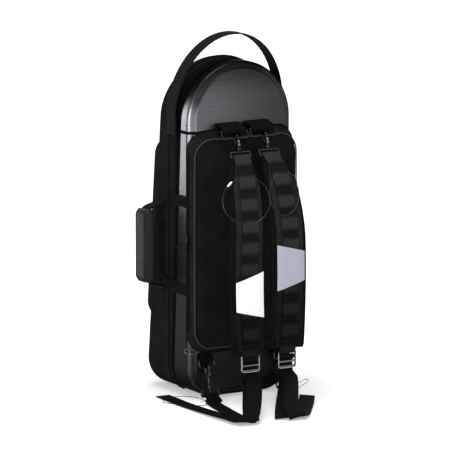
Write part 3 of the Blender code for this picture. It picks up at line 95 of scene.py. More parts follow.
class NodeSheet:
    """Adds shader nodes to one node tree."""

    def __init__(self, tree: bpy.types.NodeTree) -> None:
        """Keep the tree and its shader."""
        self.tree = tree
        self.shader = tree.nodes.get("Principled BSDF") or tree.nodes["Background"]

    def fill(self, node: bpy.types.Node, inputs: Inputs) -> None:
        """Set a node's sockets to values or to other nodes' sockets.

        Args:
            node: The node.
            inputs: What its sockets get, by name or place.
        """
        for key, value in inputs.items():
            if isinstance(value, Socket):
                self.tree.links.new(value, node.inputs[key])
            else:
                node.inputs[key].default_value = value

    def add(self, kind: str, inputs: Inputs | None = None, **settings: object) -> bpy.types.Node:
        """Add one node.

        Args:
            kind: The node's type, without the words that all of them start with.
            inputs: What its sockets get.
            settings: Values for its own settings.

        Returns:
            The new node.
        """
        node = self.tree.nodes.new(f"ShaderNode{kind}")
        for key, value in settings.items():
            setattr(node, key, value)
        self.fill(node, inputs or {})
        return node

    def place(
        self, scale: Triple = (1, 1, 1), shift: Triple = (0, 0, 0), kind: Coordinates = Coordinates.SOLID
    ) -> Socket:
        """Coordinates for a pattern.

        Args:
            scale: How much each axis is squeezed.
            shift: What is added afterwards.
            kind: What the coordinates are before that, in metres.

        Returns:
            A vector socket.
        """
        if kind is Coordinates.BAND:
            source = self.add("UVMap", uv_map="weave").outputs["UV"]
        else:
            source = self.add("TexCoord").outputs["Object"]
        return self.add("Mapping", {"Vector": source, "Scale": scale, "Location": shift}).outputs["Vector"]

    def axis(self, name: str) -> Socket:
        """One coordinate in the case's frame."""
        return self.add("SeparateXYZ", {0: self.place()}).outputs[name]

    def reach(self, scale: Triple = (1, 1, 1), shift: Triple = (0, 0, 0)) -> Socket:
        """The distance from the origin, after the scale and the shift."""
        return self.add("VectorMath", {0: self.place(scale, shift)}, operation="LENGTH").outputs["Value"]

    def cloud(self, scale: float, detail: float = 3.0, place: Socket | None = None) -> Socket:
        """A noise pattern around one half.

        Args:
            scale: How many features there are for each unit.
            detail: How many finer layers it has.
            place: Coordinates of the pattern, if not the case's own.

        Returns:
            A value socket.
        """
        inputs = {"Vector": place or self.place(), "Scale": scale, "Detail": detail, "Roughness": 0.6}
        return self.add("TexNoise", inputs).outputs["Fac"]

    def lines(self, pitch: float, axis: str, place: Socket, wobble: float = 0, phase: float = 0) -> Socket:
        """Even soft lines that repeat along one axis.

        Args:
            pitch: The distance from line to line.
            axis: X, Y, Z or DIAGONAL.
            place: Coordinates of the pattern.
            wobble: How far noise bends the lines.
            phase: How far the lines are moved, as an angle.

        Returns:
            A value socket.
        """
        inputs = {
            "Vector": place, "Scale": math.pi / (10 * pitch), "Distortion": wobble, "Detail": 1.0,
            "Detail Scale": 2.0, "Phase Offset": phase,
        }
        settings = {"wave_type": "BANDS", "bands_direction": axis, "wave_profile": "SIN"}
        return self.add("TexWave", inputs, **settings).outputs["Fac"]

    def cells(
        self, size: float, ends: Flat, place: Socket | None = None, uneven: float = 1.0, feature: str = "F1"
    ) -> Socket:
        """Cells of one size, with the distances from their middles or walls.

        Args:
            size: The distance from cell to cell.
            ends: The distances that become 0 and 1.
            place: Coordinates of the pattern, if not the case's own.
            uneven: How far the cells stray from even rows.
            feature: Which distance it is.

        Returns:
            A value socket.
        """
        inputs = {"Vector": place or self.place(), "Scale": 1 / size, "Randomness": uneven}
        return self.spread(self.add("TexVoronoi", inputs, feature=feature).outputs["Distance"], *ends)

    def sum(self, first: Socket, second: Socket, share: float = 0.5) -> Socket:
        """Mix two patterns, with a share of the second."""
        return self.add("Mix", {0: share, 2: first, 3: second}, data_type="FLOAT").outputs[0]

    def product(self, first: Socket, *others: Socket) -> Socket:
        """Multiply patterns."""
        for other in others:
            first = self.add("Math", {0: first, 1: other}, operation="MULTIPLY").outputs[0]
        return first

    def spread(self, value: Socket, low: float, high: float, to: Flat = (0.0, 1.0)) -> Socket:
        """Stretch a pattern's range, from between low and high to the new ends."""
        inputs = {"Value": value, "From Min": low, "From Max": high, "To Min": to[0], "To Max": to[1]}
        return self.add("MapRange", inputs, interpolation_type="SMOOTHSTEP").outputs["Result"]

    def seen(self) -> Socket:
        """One where a ray comes from the camera, a mirror or glass, and zero otherwise."""
        rays = self.add("LightPath").outputs
        first = {0: rays["Is Camera Ray"], 1: rays["Is Glossy Ray"]}
        second = {0: self.add("Math", first, operation="ADD").outputs[0], 1: rays["Is Transmission Ray"]}
        return self.add("Math", second, operation="ADD", use_clamp=True).outputs[0]

    def bump(self, height: Socket, depth: float, strength: float) -> None:
        """Raise the surface by a pattern that stands so high and shows so strongly."""
        made = self.add("Bump", {"Height": height, "Strength": strength, "Distance": depth})
        self.fill(self.shader, {"Normal": made.outputs["Normal"]})

    def roughen(self, share: Socket, low: float, high: float) -> None:
        """Vary the roughness between two values."""
        self.fill(self.shader, {"Roughness": self.spread(share, 0.0, 1.0, (low, high))})


@dataclass(frozen=True)
class Finish:
    """A named finish, made once, with the record's slot that it belongs to."""

    name: str
    slot: str
    colour: Triple
    roughness: float = 0.8
    metallic: float = 0.0
    specular: float = 0.2
    sheen: float = 0.0
    edge_tint: float = 1.0

    def material(self) -> bpy.types.Material:
        """The finish's material, which is made on first use.

        Returns:
            The material.
        """
        found = bpy.data.materials.get(self.name)
        if found:
            return found
        made = bpy.data.materials.new(self.name)
        made.use_nodes = True
        sheet = NodeSheet(made.node_tree)
        sheet.fill(sheet.shader, {
            "Base Color": (*self.colour, 1.0),
            "Roughness": self.roughness,
            "Metallic": self.metallic,
            "Specular IOR Level": self.specular,
            "Specular Tint": (self.edge_tint, self.edge_tint, self.edge_tint, 1.0),
            "Sheen Weight": self.sheen,
            "Sheen Roughness": 0.4,
        })
        self.pattern(sheet)
        return made

    def pattern(self, sheet: NodeSheet) -> None:
        """Add the finish's own detail to its shader."""

    def dye(
        self, sheet: NodeSheet, share: Socket, low: float, high: float, tone: Socket | None = None
    ) -> None:
        """Colour the shader between a darker and a lighter tone of the finish.

        Args:
            sheet: The material's sheet.
            share: The pattern that mixes the two.
            low: How light the tone is where the pattern is 0.
            high: How light it is where the pattern is 1.
            tone: How light or dark the mix is made, if it changes.
        """
        ends = {6 + i: (*(part * level for part in self.colour), 1.0) for i, level in enumerate((low, high))}
        colour = sheet.add("Mix", {0: share, **ends}, data_type="RGBA").outputs[2]
        if tone is not None:
            colour = sheet.add("VectorMath", {0: colour, "Scale": tone}, operation="SCALE").outputs[0]
        sheet.fill(sheet.shader, {"Base Color": colour})


@dataclass(frozen=True)
class BrushedMetal(Finish):
    """A dark shell brushed across, with slow changes of tone between the strokes, and painted light and shade
    over its face.
    """

    line: float = 0.0008
    painted_light_left: float = 1.22
    painted_shade_right: float = 0.46
    painted_shade_crown: float = 0.30
    low_rim: float = 0.20
    painted_highlight_edge: float = 2.1
    arch_shade: float = 0.42
    arch_middle: float = 0.478

    def pattern(self, sheet: NodeSheet) -> None:
        """Long thin strokes round the case, and painted light and shade over its whole face: lighter to the
        left, darker to the right, at the crown, low down and on the arch, with a painted highlight down the
        left edge.
        """
        fine = sheet.cloud(1.0, 4.0, sheet.place((7, 7, 1 / self.line)))
        coarse = sheet.cloud(1.0, 2.0, sheet.place((3, 3, 0.25 / self.line)))
        strokes = sheet.sum(fine, coarse, 0.35)
        across, height = sheet.axis("X"), sheet.axis("Z")
        # Painted light and shade over the shell: painted light to the left, painted shade to the right, at
        # the crown and lower down, and a painted highlight on the left edge.
        side = sheet.spread(across, -0.105, 0.095, (self.painted_light_left, self.painted_shade_right))
        crown = sheet.spread(height, 0.512, 0.575, (1.0, self.painted_shade_crown))
        upper = sheet.spread(height, 0.190, 0.470, (self.low_rim, 1.0))
        edge = sheet.spread(across, -0.100, -0.084, (self.painted_highlight_edge, 1.0))
        tone = sheet.product(side, crown, upper, edge, self.painted_arch_shade(sheet, across, height))
        self.dye(sheet, sheet.spread(strokes, 0.3, 0.7), 0.86, 1.14, tone)
        sheet.roughen(fine, self.roughness - 0.06, self.roughness + 0.08)
        sheet.bump(strokes, 0.00004, 0.4)

    def painted_arch_shade(self, sheet: NodeSheet, across: Socket, height: Socket) -> Socket:
        """Painted shade on the rolled edge round the left and the top of the crown.

        Args:
            sheet: The material's sheet.
            across: The X coordinate.
            height: The Z coordinate.

        Returns:
            How light the tone is under the painted shade, as a value socket.
        """
        # Painted shade on the rolled edge at the top left of the crown.
        rolled = sheet.spread(sheet.reach((1, 0, 1), (0, 0, -self.arch_middle)), 0.0870, 0.0915)
        upper = sheet.spread(height, 0.485, 0.525)
        left = sheet.spread(across, 0.030, 0.060, (1.0, 0.0))
        return sheet.spread(sheet.product(rolled, upper, left), 0.0, 1.0, (1.0, self.arch_shade))


@dataclass(frozen=True)
class WovenCloth(Finish):
    """Pack cloth: fine crossed threads, with a soft unevenness over the panel."""

    pitch: float = 0.0009
    contrast: float = 0.3
    depth: float = 0.00005

    def pattern(self, sheet: NodeSheet) -> None:
        """Two crossed sets of threads and a slow change of tone."""
        slant = self.pitch * math.sqrt(2)
        warp, weft = (sheet.lines(slant, "DIAGONAL", sheet.place((1, 1, way))) for way in (1, -1))
        threads, worn = sheet.product(warp, weft), sheet.cloud(28.0, 4.0)
        tone = sheet.sum(sheet.spread(worn, 0.3, 0.7), threads, 0.4)
        self.dye(sheet, tone, 1 - self.contrast, 1 + self.contrast)
        sheet.roughen(worn, self.roughness - 0.06, self.roughness + 0.06)
        sheet.bump(sheet.sum(threads, worn, 0.4), self.depth, 0.6)


@dataclass(frozen=True)
class RibbedWebbing(Finish):
    """Webbing: ribs that run along it and the fine weft between them."""

    rib: float = 0.0022
    weft: float = 0.0012

    def pattern(self, sheet: NodeSheet) -> None:
        """Ribs across the band's distance, crossed by the weft."""
        place = sheet.place(kind=Coordinates.BAND)
        weave = sheet.sum(sheet.lines(self.rib, "Y", place), sheet.lines(self.weft, "X", place, 0.4), 0.45)
        worn = sheet.cloud(40.0)
        self.dye(sheet, sheet.sum(weave, worn, 0.35), 0.62, 1.38)
        sheet.roughen(worn, self.roughness - 0.08, self.roughness + 0.06)
        sheet.bump(weave, 0.0003, 0.7)


@dataclass(frozen=True)
class TackedWebbing(RibbedWebbing):
    """Webbing with painted light on its loops: lighter between its bar tacks, where the loops bulge."""

    segment: float = 0.0371
    start: float = 0.404
    painted_loop_light: float = 0.6

    def pattern(self, sheet: NodeSheet) -> None:
        """The weave, with a painted highlight in the middle of each loop, and darker down the pad."""
        super().pattern(sheet)
        ribs = sheet.lines(self.rib, "Y", sheet.place(kind=Coordinates.BAND))
        # Painted highlight where each loop bulges between its tacks.
        loops = sheet.lines(self.segment, "Z", sheet.place(), phase=-2 * math.pi * self.start / self.segment)
        painted_loop_highlight = sheet.spread(loops, 0.15, 0.85, (1 - self.painted_loop_light, 1 + self.painted_loop_light))
        down = sheet.spread(sheet.axis("Z"), 0.130, 0.330, (0.35, 1.0))
        self.dye(sheet, ribs, 0.75, 1.25, sheet.product(painted_loop_highlight, down))


@dataclass(frozen=True)
class Plush(Finish):
    """Short pile over foam."""

    pile: float = 900.0

    def pattern(self, sheet: NodeSheet) -> None:
        """Fine pile, and patches where it was stroked the other way."""
        pile, stroked = sheet.cloud(self.pile, 2.0), sheet.cloud(22.0, 2.0)
        self.dye(sheet, sheet.sum(pile, stroked, 0.5), 0.6, 1.5)
        sheet.bump(sheet.sum(pile, stroked, 0.2), 0.0006, 0.5)


@dataclass(frozen=True)
class SpacerMesh(Finish):
    """Air mesh: rows of small holes in a springy knit."""

    hole: float = 0.0021

    def pattern(self, sheet: NodeSheet) -> None:
        """Round dark holes in a lighter knit."""
        holes = sheet.cells(self.hole, (0.25, 0.55), uneven=0.25)
        self.dye(sheet, holes, 0.35, 1.3)
        sheet.bump(holes, 0.0005, 0.8)


@dataclass(frozen=True)
class GrainedVinyl(Finish):
    """Leatherette with a fine pebbled grain."""

    grain: float = 0.0012
    outer: float = -0.1490
    painted_outer_shade: float = 0.24

    def pattern(self, sheet: NodeSheet) -> None:
        """Pebbles of uneven size with shallow creases, and painted shade on the grip's outer face."""
        pebbles = sheet.cells(self.grain, (0.0, 0.3), feature="DISTANCE_TO_EDGE")
        worn = sheet.cloud(60.0)
        # Painted shade on the outer face, the side of the grip that faces away from the case.
        face = sheet.spread(sheet.axis("X"), self.outer, self.outer + 0.0040, (self.painted_outer_shade, 1.0))
        self.dye(sheet, sheet.sum(pebbles, worn, 0.4), 0.7, 1.25, face)
        sheet.roughen(worn, self.roughness - 0.1, self.roughness + 0.1)
        sheet.bump(pebbles, 0.00018, 0.5)


@dataclass(frozen=True)
class PlatedMetal(Finish):
    """Polished dark plating with faint handling marks."""

    def pattern(self, sheet: NodeSheet) -> None:
        """Soft smudges in the gloss and a slow change of tone."""
        self.dye(sheet, sheet.cloud(60.0, 2.0), 0.8, 1.2)
        sheet.roughen(sheet.cloud(240.0, 4.0), max(0.08, self.roughness - 0.1), self.roughness + 0.1)


@dataclass(frozen=True)
class ReflectiveFilm(Finish):
    """A reflective patch: a fine net of cells printed on a smooth film."""

    cell: float = 0.0030

    def pattern(self, sheet: NodeSheet) -> None:
        """Faint cell walls, a little duller than the film."""
        place = sheet.place((1, 0.2, 1))
        walls = sheet.cells(self.cell, (0.02, 0.09), place, uneven=0.0, feature="DISTANCE_TO_EDGE")
        self.dye(sheet, walls, 0.93, 1.0)
        sheet.roughen(walls, self.roughness + 0.1, self.roughness)


@dataclass(frozen=True)
class TwistedCord(Finish):
    """A thin cord cover whose wrap runs slantwise."""

    twist: float = 0.0016

    def pattern(self, sheet: NodeSheet) -> None:
        """Slanting lines from the cord's own distances."""
        lay = sheet.lines(self.twist, "DIAGONAL", sheet.place((1, 0.6, 1), kind=Coordinates.BAND))
        self.dye(sheet, sheet.sum(lay, sheet.cloud(50.0, 2.0), 0.5), 0.75, 1.2)
        sheet.bump(lay, 0.0001, 0.5)


SHELL_GREY = (0.0735, 0.0735, 0.079)
BRUSHED_SHELL = BrushedMetal("brushed_gunmetal", "brushed_shell", SHELL_GREY, 0.34, 0.95, 0.3, edge_tint=0.12)
CASE_CLOTH = WovenCloth("pack_cloth", "case_cloth", (0.0098, 0.0101, 0.0106), 0.80, specular=0.0)
POCKET_CLOTH = WovenCloth(
    "light_pack_cloth", "pocket_cloth", (0.0122, 0.0122, 0.0130), 0.85, specular=0.0, pitch=0.0007
)
BINDING = RibbedWebbing("binding_tape", "webbing", (0.0060, 0.0060, 0.0064), 0.85, specular=0.0, rib=0.0011)
WEBBING = RibbedWebbing("nylon_webbing", "webbing", (0.0062, 0.0062, 0.0066), 0.62, specular=0.01)
HANDLE_WEBBING = RibbedWebbing("handle_webbing", "webbing", (0.0118, 0.0118, 0.0122), 0.60, specular=0.003)
DARK_WEBBING = RibbedWebbing("dark_webbing", "webbing", (0.0058, 0.0058, 0.0062), 0.75, specular=0.01)
PAD_WEBBING = TackedWebbing("tacked_webbing", "webbing", (0.0180, 0.0180, 0.0190), 0.60, specular=0.03)
STRIPE = TackedWebbing(
    "pad_side_tape", "webbing", (0.0230, 0.0233, 0.0243), 0.65, specular=0.03, rib=0.0016, painted_loop_light=0.12
)
MESH = SpacerMesh("spacer_mesh", "pocket_cloth", (0.0068, 0.0068, 0.0073), 0.90, specular=0.0)
PLUSH = Plush("plush_pile", "plush_foam", (0.014, 0.014, 0.017), 0.95, specular=0.06, sheen=0.12)
ZIP_TAPE = RibbedWebbing("zip_band_tape", "zip_tape", (0.0058, 0.0058, 0.0062), 0.85, specular=0, rib=0.0009)
ZIP_COIL = PlatedMetal("zip_coil", "zip_tape", (0.009, 0.009, 0.0096), 0.55, specular=0.0)
GUNMETAL = PlatedMetal("gunmetal_plating", "hardware", (0.030, 0.030, 0.032), 0.26, 1.0, edge_tint=0.2)
BRIGHT_METAL = PlatedMetal("polished_edge", "hardware", (0.110, 0.110, 0.113), 0.24, 1.0)
RIM_METAL = PlatedMetal("polished_rim", "hardware", (0.300, 0.300, 0.305), 0.24, 1.0)
VINYL = GrainedVinyl("grip_leatherette", "grip_vinyl", (0.0215, 0.0225, 0.0236), 0.50, specular=0.12)
THREAD = TwistedCord("black_thread", "webbing", (0.011, 0.011, 0.0115), 0.60, specular=0.03)
PIPING = TwistedCord("grey_piping", "piping", (0.046, 0.046, 0.047), 0.55, specular=0.0)
DARK_PIPING = TwistedCord("case_piping", "case_cloth", (0.0120, 0.0120, 0.0126), 0.60, specular=0.0)
LOOP_NYLON = TwistedCord("loop_nylon", "webbing", (0.012, 0.012, 0.0115), 0.3, specular=0.3)
LOOP_BARREL = PlatedMetal("loop_barrel", "left_reflective", (0.85, 0.85, 0.83), 0.35, specular=0.5)
WHITE_FILM = ReflectiveFilm("white_reflective", "left_reflective", (1.0, 1.0, 1.0), 0.45, specular=0.4)
GREY_FILM = ReflectiveFilm(
    "blue_grey_reflective", "right_reflective", (0.405, 0.430, 0.505), 0.45, specular=0.3
)


# Paths and skins


def smooth_path(points: Sequence[Sequence[float]], steps: int) -> list[Vector]:
    """A smooth centripetal curve through points.

    Args:
        points: The points that it passes through.
        steps: How many steps each span gets.

    Returns:
        The curve's points, ends included.
    """
    given = [Vector(point) for point in points]
    ends = [2 * given[0] - given[1], *given, 2 * given[-1] - given[-2]]
    found = []
    for i in range(1, len(ends) - 2):
        near = ends[i - 1 : i + 3]
        knots = [0.0]
        for first, second in zip(near, near[1:]):
            knots.append(knots[-1] + math.sqrt((second - first).length))
        found += [blend_span(near, knots, knots[1] + (knots[2] - knots[1]) * j / steps) for j in range(steps)]
    return [*found, given[-1]]


def blend_span(points: list[Vector], knots: list[float], t: float) -> Vector:
    """The point between four points, which are blended in pairs until one is left.

    Args:
        points: The four points.
        knots: Their parameters.
        t: The parameter of the new point.

    Returns:
        The point.
    """
    for start, reach in ((0, 1), (0, 2), (1, 1)):
        merged = []
        for i in range(len(points) - 1):
            low, high = knots[start + i], knots[start + i + reach]
            merged.append(points[i] + (points[i + 1] - points[i]) * ((t - low) / (high - low)))
        points = merged
    return points[0]


def headings(path: Sequence[Vector], loop: bool = False) -> list[Vector]:
    """The direction of travel along a path.

    Args:
        path: Its points.
        loop: Whether it closes on itself.

    Returns:
        One direction for each point.
    """
    count = len(path)
    found = []
    for i in range(count):
        before = path[i - 1] if loop or i > 0 else path[i]
        after = path[(i + 1) % count] if loop or i < count - 1 else path[i]
        found.append((after - before).normalized())
    return found


def opened(path: list[Vector], least: float = 0.0) -> list[Vector]:
    """A broken ring's points in order, from one side of its widest gap to the other.

    Args:
        path: The ring's points, with some left out.
        least: A gap up to this width leaves the order as it is.

    Returns:
        The points.
    """
    gap = max(range(len(path) - 1), key=lambda i: (path[i + 1] - path[i]).length)
    if (path[gap + 1] - path[gap]).length > least:
        return path[gap + 1 :] + path[: gap + 1]
    return path


def turns(count: int, whole: float = 2 * math.pi) -> list[float]:
    """Angles from zero, in so many even steps of a turn that isn't closed."""
    return [whole * i / count for i in range(count)]


def arc(centre: Flat, radius: float, start: float, end: float, steps: int) -> list[Flat]:
    """Points on an arc from one angle to another, both ends included."""
    angles = [start + (end - start) * i / steps for i in range(steps + 1)]
    return [(centre[0] + radius * math.cos(a), centre[1] + radius * math.sin(a)) for a in angles]


def rounded_corners(high: Flat, low: Flat, radius: float, steps: int) -> list[Flat]:
    """An outline between two opposite corners, with its own corners rounded.

    Args:
        high: Where its right and top sides lie.
        low: Where its left and lower sides lie.
        radius: The radius of its corners.
        steps: How many steps each corner has.

    Returns:
        Its points in pairs, anticlockwise.
    """
    right, top, left, base = high[0] - radius, high[1] - radius, low[0] + radius, low[1] + radius
    found = []
    for turn, centre in enumerate(((right, base), (right, top), (left, top), (left, base)), start=-1):
        found += arc(centre, radius, turn * QUARTER, (turn + 1) * QUARTER, steps)
    return found


def rounded_rectangle(width: float, height: float, radius: float, steps: int = 8) -> list[Flat]:
    """An outline round the origin, as points in pairs."""
    x, y = width / 2, height / 2
    return rounded_corners((x, y), (-x, -y), radius, steps)


def circle(middle: Vector, first: Vector, second: Vector, radius: float, sides: int) -> Ring:
    """A ring of even points, which turns from one direction to another at right angles to it."""
    return [middle + (first * math.cos(a) + second * math.sin(a)) * radius for a in turns(sides)]


def tube_rings(
    path: Sequence[Vector], radius: float | Sequence[float], sides: int, loop: bool = False
) -> list[Ring]:
    """Round rings along a path.

    Args:
        path: The tube's middle line.
        radius: One radius, or one for each point.
        sides: How many points each ring has.
        loop: Whether the path closes on itself.

    Returns:
        One ring for each point.
    """
    radii = radius if isinstance(radius, list) else [radius] * len(path)
    ways = headings(path, loop)
    normal = ways[0].orthogonal().normalized()
    rings = []
    for place, way, size in zip(path, ways, radii):
        normal = (normal - way * normal.dot(way)).normalized()
        rings.append(circle(place, normal, way.cross(normal), size, sides))
    return rings


BAND_EDGE = ((0.985, 0.7), (0.95, 1.0), (0.55, 1.0), (0.0, 1.0), (-0.55, 1.0), (-0.95, 1.0), (-0.985, 0.7))
BAND_SECTION = ((1.0, 0.0), *BAND_EDGE, (-1.0, 0.0), *((-u, -v) for u, v in BAND_EDGE))


def band_rings(
    path: Sequence[Vector],
    across: Vector,
    width: float,
    thickness: float,
    floor: float | None = None,
    ease: int = 0,
) -> list[Ring]:
    """Flat rounded sections along a path.

    Args:
        path: The band's middle line.
        across: The direction of its width.
        width: The band's width.
        thickness: The band's thickness.
        floor: A height that no edge goes under.
        ease: Over how many points on either side the direction of the width is evened out.

    Returns:
        One ring for each point.
    """
    rings = []
    ways = headings(path)
    sides = [(across - way * way.dot(across)).normalized() for way in ways]
    for i, (place, way) in enumerate(zip(path, ways)):
        side = sum(sides[max(0, i - ease) : i + ease + 1], Vector()).normalized()
        up = way.cross(side).normalized()
        lifts = [0.0, 0.0]
        if floor is not None:
            for k, sign in enumerate((-1, 1)):
                edge = (place + side * sign * width / 2).z - abs(up.z) * thickness / 2
                lifts[k] = max(0.0, floor - edge)
        ring = []
        for u, v in BAND_SECTION:
            lift = lifts[0] + (lifts[1] - lifts[0]) * (u + 1) / 2
            ring.append(place + side * u * width / 2 + up * v * thickness / 2 + UPWARD * lift)
        rings.append(ring)
    return rings


@dataclass(frozen=True)
class Carrier:
    """What a piece rides on: one body, or two bodies, between which the piece stays fixed where it is built.
    """

    body: str
    other: str = ""
    start: Triple = (0.0, 0.0, 0.0)
    end: Triple = (0.0, 0.0, 1.0)

    def carry(self, obj: bpy.types.Object) -> None:
        """Tie a finished piece to its body, or fix a piece between two bodies where it stands."""
        if self.other:
            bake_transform(obj)
        else:
            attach(obj, self.body)


BACK = Carrier("case_back")
LID = Carrier("case_lid")


class Skin:
    """Collects one piece's points and faces, with its distances along and across."""

    def __init__(self) -> None:
        """Start with nothing."""
        self.points: list[Vector] = []
        self.faces: list[tuple[int, ...]] = []
        self.weave: list[list[Flat]] = []

    def rings(self, rings: Sequence[Ring], loop: bool = False, caps: Sequence[int] = (0, -1)) -> "Skin":
        """Skin rings of equal count.

        Args:
            rings: The rings, in order.
            loop: Whether the last joins the first.
            caps: Which ends are closed where they don't join.

        Returns:
            This skin.
        """
        count, base = len(rings[0]), len(self.points)
        along, over = [0.0], [0.0]
        for first, second in zip(rings, [*rings[1:], rings[0]]):
            along.append(along[-1] + sum((a - b).length for a, b in zip(first, second)) / count)
        middle = rings[len(rings) // 2]
        for first, second in zip(middle, [*middle[1:], middle[0]]):
            over.append(over[-1] + (second - first).length)
        self.points += [point for ring in rings for point in ring]
        for i in range(len(rings) if loop else len(rings) - 1):
            low, high = base + i * count, base + (i + 1) % len(rings) * count
            near, far = along[i], along[i + 1]
            for j in range(count):
                k = (j + 1) % count
                self.faces.append((low + j, low + k, high + k, high + j))
                self.weave.append([(near, over[j]), (near, over[j + 1]), (far, over[j + 1]), (far, over[j])])
        for end in () if loop else caps:
            start = base + end % len(rings) * count
            self.faces.append(tuple(range(start, start + count)))
            self.weave.append([(0.0, over[j]) for j in range(count)])
        return self

    def tube(
        self, path: Sequence[Vector], radius: float | Sequence[float], sides: int = 8, loop: bool = False
    ) -> "Skin":
        """A round tube along a path, which closes on itself if it is a loop."""
        return self.rings(tube_rings(path, radius, sides, loop), loop)

    def band(self, path: Sequence[Vector], across: Vector, width: float, thickness: float) -> "Skin":
        """A flat band along a path, with the direction of its width."""
        return self.rings(band_rings(path, across, width, thickness))

    def bricks(
        self, path: Sequence[Vector], outs: Vector | Sequence[Vector], pitch: float, size: Triple
    ) -> "Skin":
        """Small raised blocks at even steps, such as stitches or zip teeth.

        Args:
            path: The line that they follow.
            outs: The direction away from the surface, one for all or one for each point.
            pitch: The distance from block to block.
            size: Each block's length along the path, its width across and its height.

        Returns:
            This skin.
        """
        outs = [outs] * len(path) if isinstance(outs, Vector) else outs
        travelled, due = 0.0, pitch / 2
        for i in range(len(path) - 1):
            step = (path[i + 1] - path[i]).length
            while due <= travelled + step and step > 0:
                share = (due - travelled) / step
                place = path[i].lerp(path[i + 1], share)
                out = outs[i].lerp(outs[i + 1], share).normalized()
                self.brick(place, (path[i + 1] - path[i]).normalized(), out, size)
                due += pitch
            travelled += step
        return self

    def brick(self, place: Vector, way: Vector, out: Vector, size: Triple) -> None:
        """One block with sloping sides.

        Args:
            place: The middle of its foot.
            way: The direction of its length.
            out: The direction of its height.
            size: Its length, width and height.
        """
        across = way.cross(out).normalized() * size[1] / 2
        ahead, up = way * size[0] / 2, out * size[2]
        base = len(self.points)
        for share, lift in ((1.0, up * -0.15), (0.95, up * 0.5), (0.6, up)):
            for u, v in ((-1, -1), (1, -1), (1, 1), (-1, 1)):
                self.points.append(place + ahead * u * share + across * v * share + lift)
        for low in (base, base + 4):
            for j in range(4):
                k = (j + 1) % 4
                self.faces.append((low + j, low + k, low + 4 + k, low + 4 + j))
                self.weave.append([(0.0, 0.0), (size[0], 0.0), (size[0], size[2]), (0.0, size[2])])
        self.faces.append((base + 8, base + 9, base + 10, base + 11))
        self.weave.append([(0.0, 0.0), (size[0], 0.0), (size[0], size[1]), (0.0, size[1])])

    def turned(self, base: Vector, axis: Vector, profile: Sequence[Flat], sides: int = 24) -> "Skin":
        """A round turned form.

        Args:
            base: Where the profile starts.
            axis: The direction of the turning axis.
            profile: Distances along the axis and radii.
            sides: How many points each ring has.

        Returns:
            This skin.
        """
        normal = axis.orthogonal().normalized()
        across = axis.cross(normal)
        return self.rings([circle(base + axis * along, normal, across, r, sides) for along, r in profile])

    def make(
        self, name: str, finish: Finish, carrier: Carrier, stands_for: Iterable[str] = (), sharp: float = 40.0
    ) -> bpy.types.Object:
        """Make the piece, give it its finish and shading, and tie it to what it rides on.

        Args:
            name: The piece's name.
            finish: Its finish.
            carrier: What it rides on.
            stands_for: The solids that it is shown in place of.
            sharp: The angle in degrees from which an edge stays crisp.

        Returns:
            The piece.
        """
        mesh = bpy.data.meshes.new(name)
        mesh.from_pydata([tuple(point) for point in self.points], [], self.faces)
        flat = [value for face in self.weave for pair in face for value in pair]
        mesh.uv_layers.new(name="weave").data.foreach_set("uv", flat)
        edit = bmesh.new()
        edit.from_mesh(mesh)
        bmesh.ops.recalc_face_normals(edit, faces=edit.faces)
        edit.to_mesh(mesh)
        edit.free()
        return settle(linked(name, mesh), finish, carrier, stands_for, sharp)


def linked(name: str, data: bpy.types.ID) -> bpy.types.Object:
    """A new object of the scene.

    Args:
        name: The object's name.
        data: Its mesh, lamp or camera.

    Returns:
        The object.
    """
    obj = bpy.data.objects.new(name, data)
    bpy.context.scene.collection.objects.link(obj)
    return obj


def settle(
    obj: bpy.types.Object, finish: Finish, carrier: Carrier, stands_for: Iterable[str], sharp: float
) -> bpy.types.Object:
    """Give a finished mesh its finish and shading, tie it to what it rides on, and hide the solids that it
    stands for.

    Args:
        obj: The piece.
        finish: Its finish.
        carrier: What it rides on.
        stands_for: The solids that it is shown in place of.
        sharp: The angle in degrees from which an edge stays crisp.

    Returns:
        The piece.
    """
    obj.data.materials.clear()
    obj.data.materials.append(finish.material())
    obj.data.shade_smooth()
    obj.data.set_sharp_from_angle(angle=math.radians(sharp))
    carrier.carry(obj)
    nodes = list(stands_for)
    if nodes:
        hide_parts(*nodes)
    LOG.info("made %s of %s", obj.name, finish.name)
    return obj


def solid_copy(node: str, name: str) -> bpy.types.Object:
    """A new object with a solid's own shape, which rides on nothing yet.

    Args:
        node: The solid.
        name: The object's name.

    Returns:
        The object.
    """
    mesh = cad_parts[node].data.copy()
    mesh.name = name
    return linked(name, mesh)


def modified(obj: bpy.types.Object, kind: str, **settings: object) -> None:
    """Add a modifier.

    Args:
        obj: The piece that gets it.
        kind: The modifier's type.
        settings: Values for its own settings.
    """
    modifier = obj.modifiers.new(kind.lower(), kind)
    for key, value in settings.items():
        setattr(modifier, key, value)


def applied(obj: bpy.types.Object) -> None:
    """Replace a piece's mesh by what its modifiers make of it."""
    bpy.context.view_layer.update()
    graph = bpy.context.evaluated_depsgraph_get()
    result = bpy.data.meshes.new_from_object(obj.evaluated_get(graph))
    obj.modifiers.clear()
    obj.data = result


def bevelled(node: str, name: str, width: float, finish: Finish, carrier: Carrier) -> None:
    """A hard piece with a solid's shape and softened edges.

    Args:
        node: The solid that it stands for.
        name: The piece's name.
        width: How wide its softened edges are.
        finish: Its finish.
        carrier: What it rides on.
    """
    obj = solid_copy(node, name)
    modified(obj, "WELD", merge_threshold=0.00001)
    modified(
        obj, "BEVEL", width=width, segments=2, limit_method="ANGLE", angle_limit=math.radians(35),
        use_clamp_overlap=True,
    )
    applied(obj)
    settle(obj, finish, carrier, [node], 32.0)


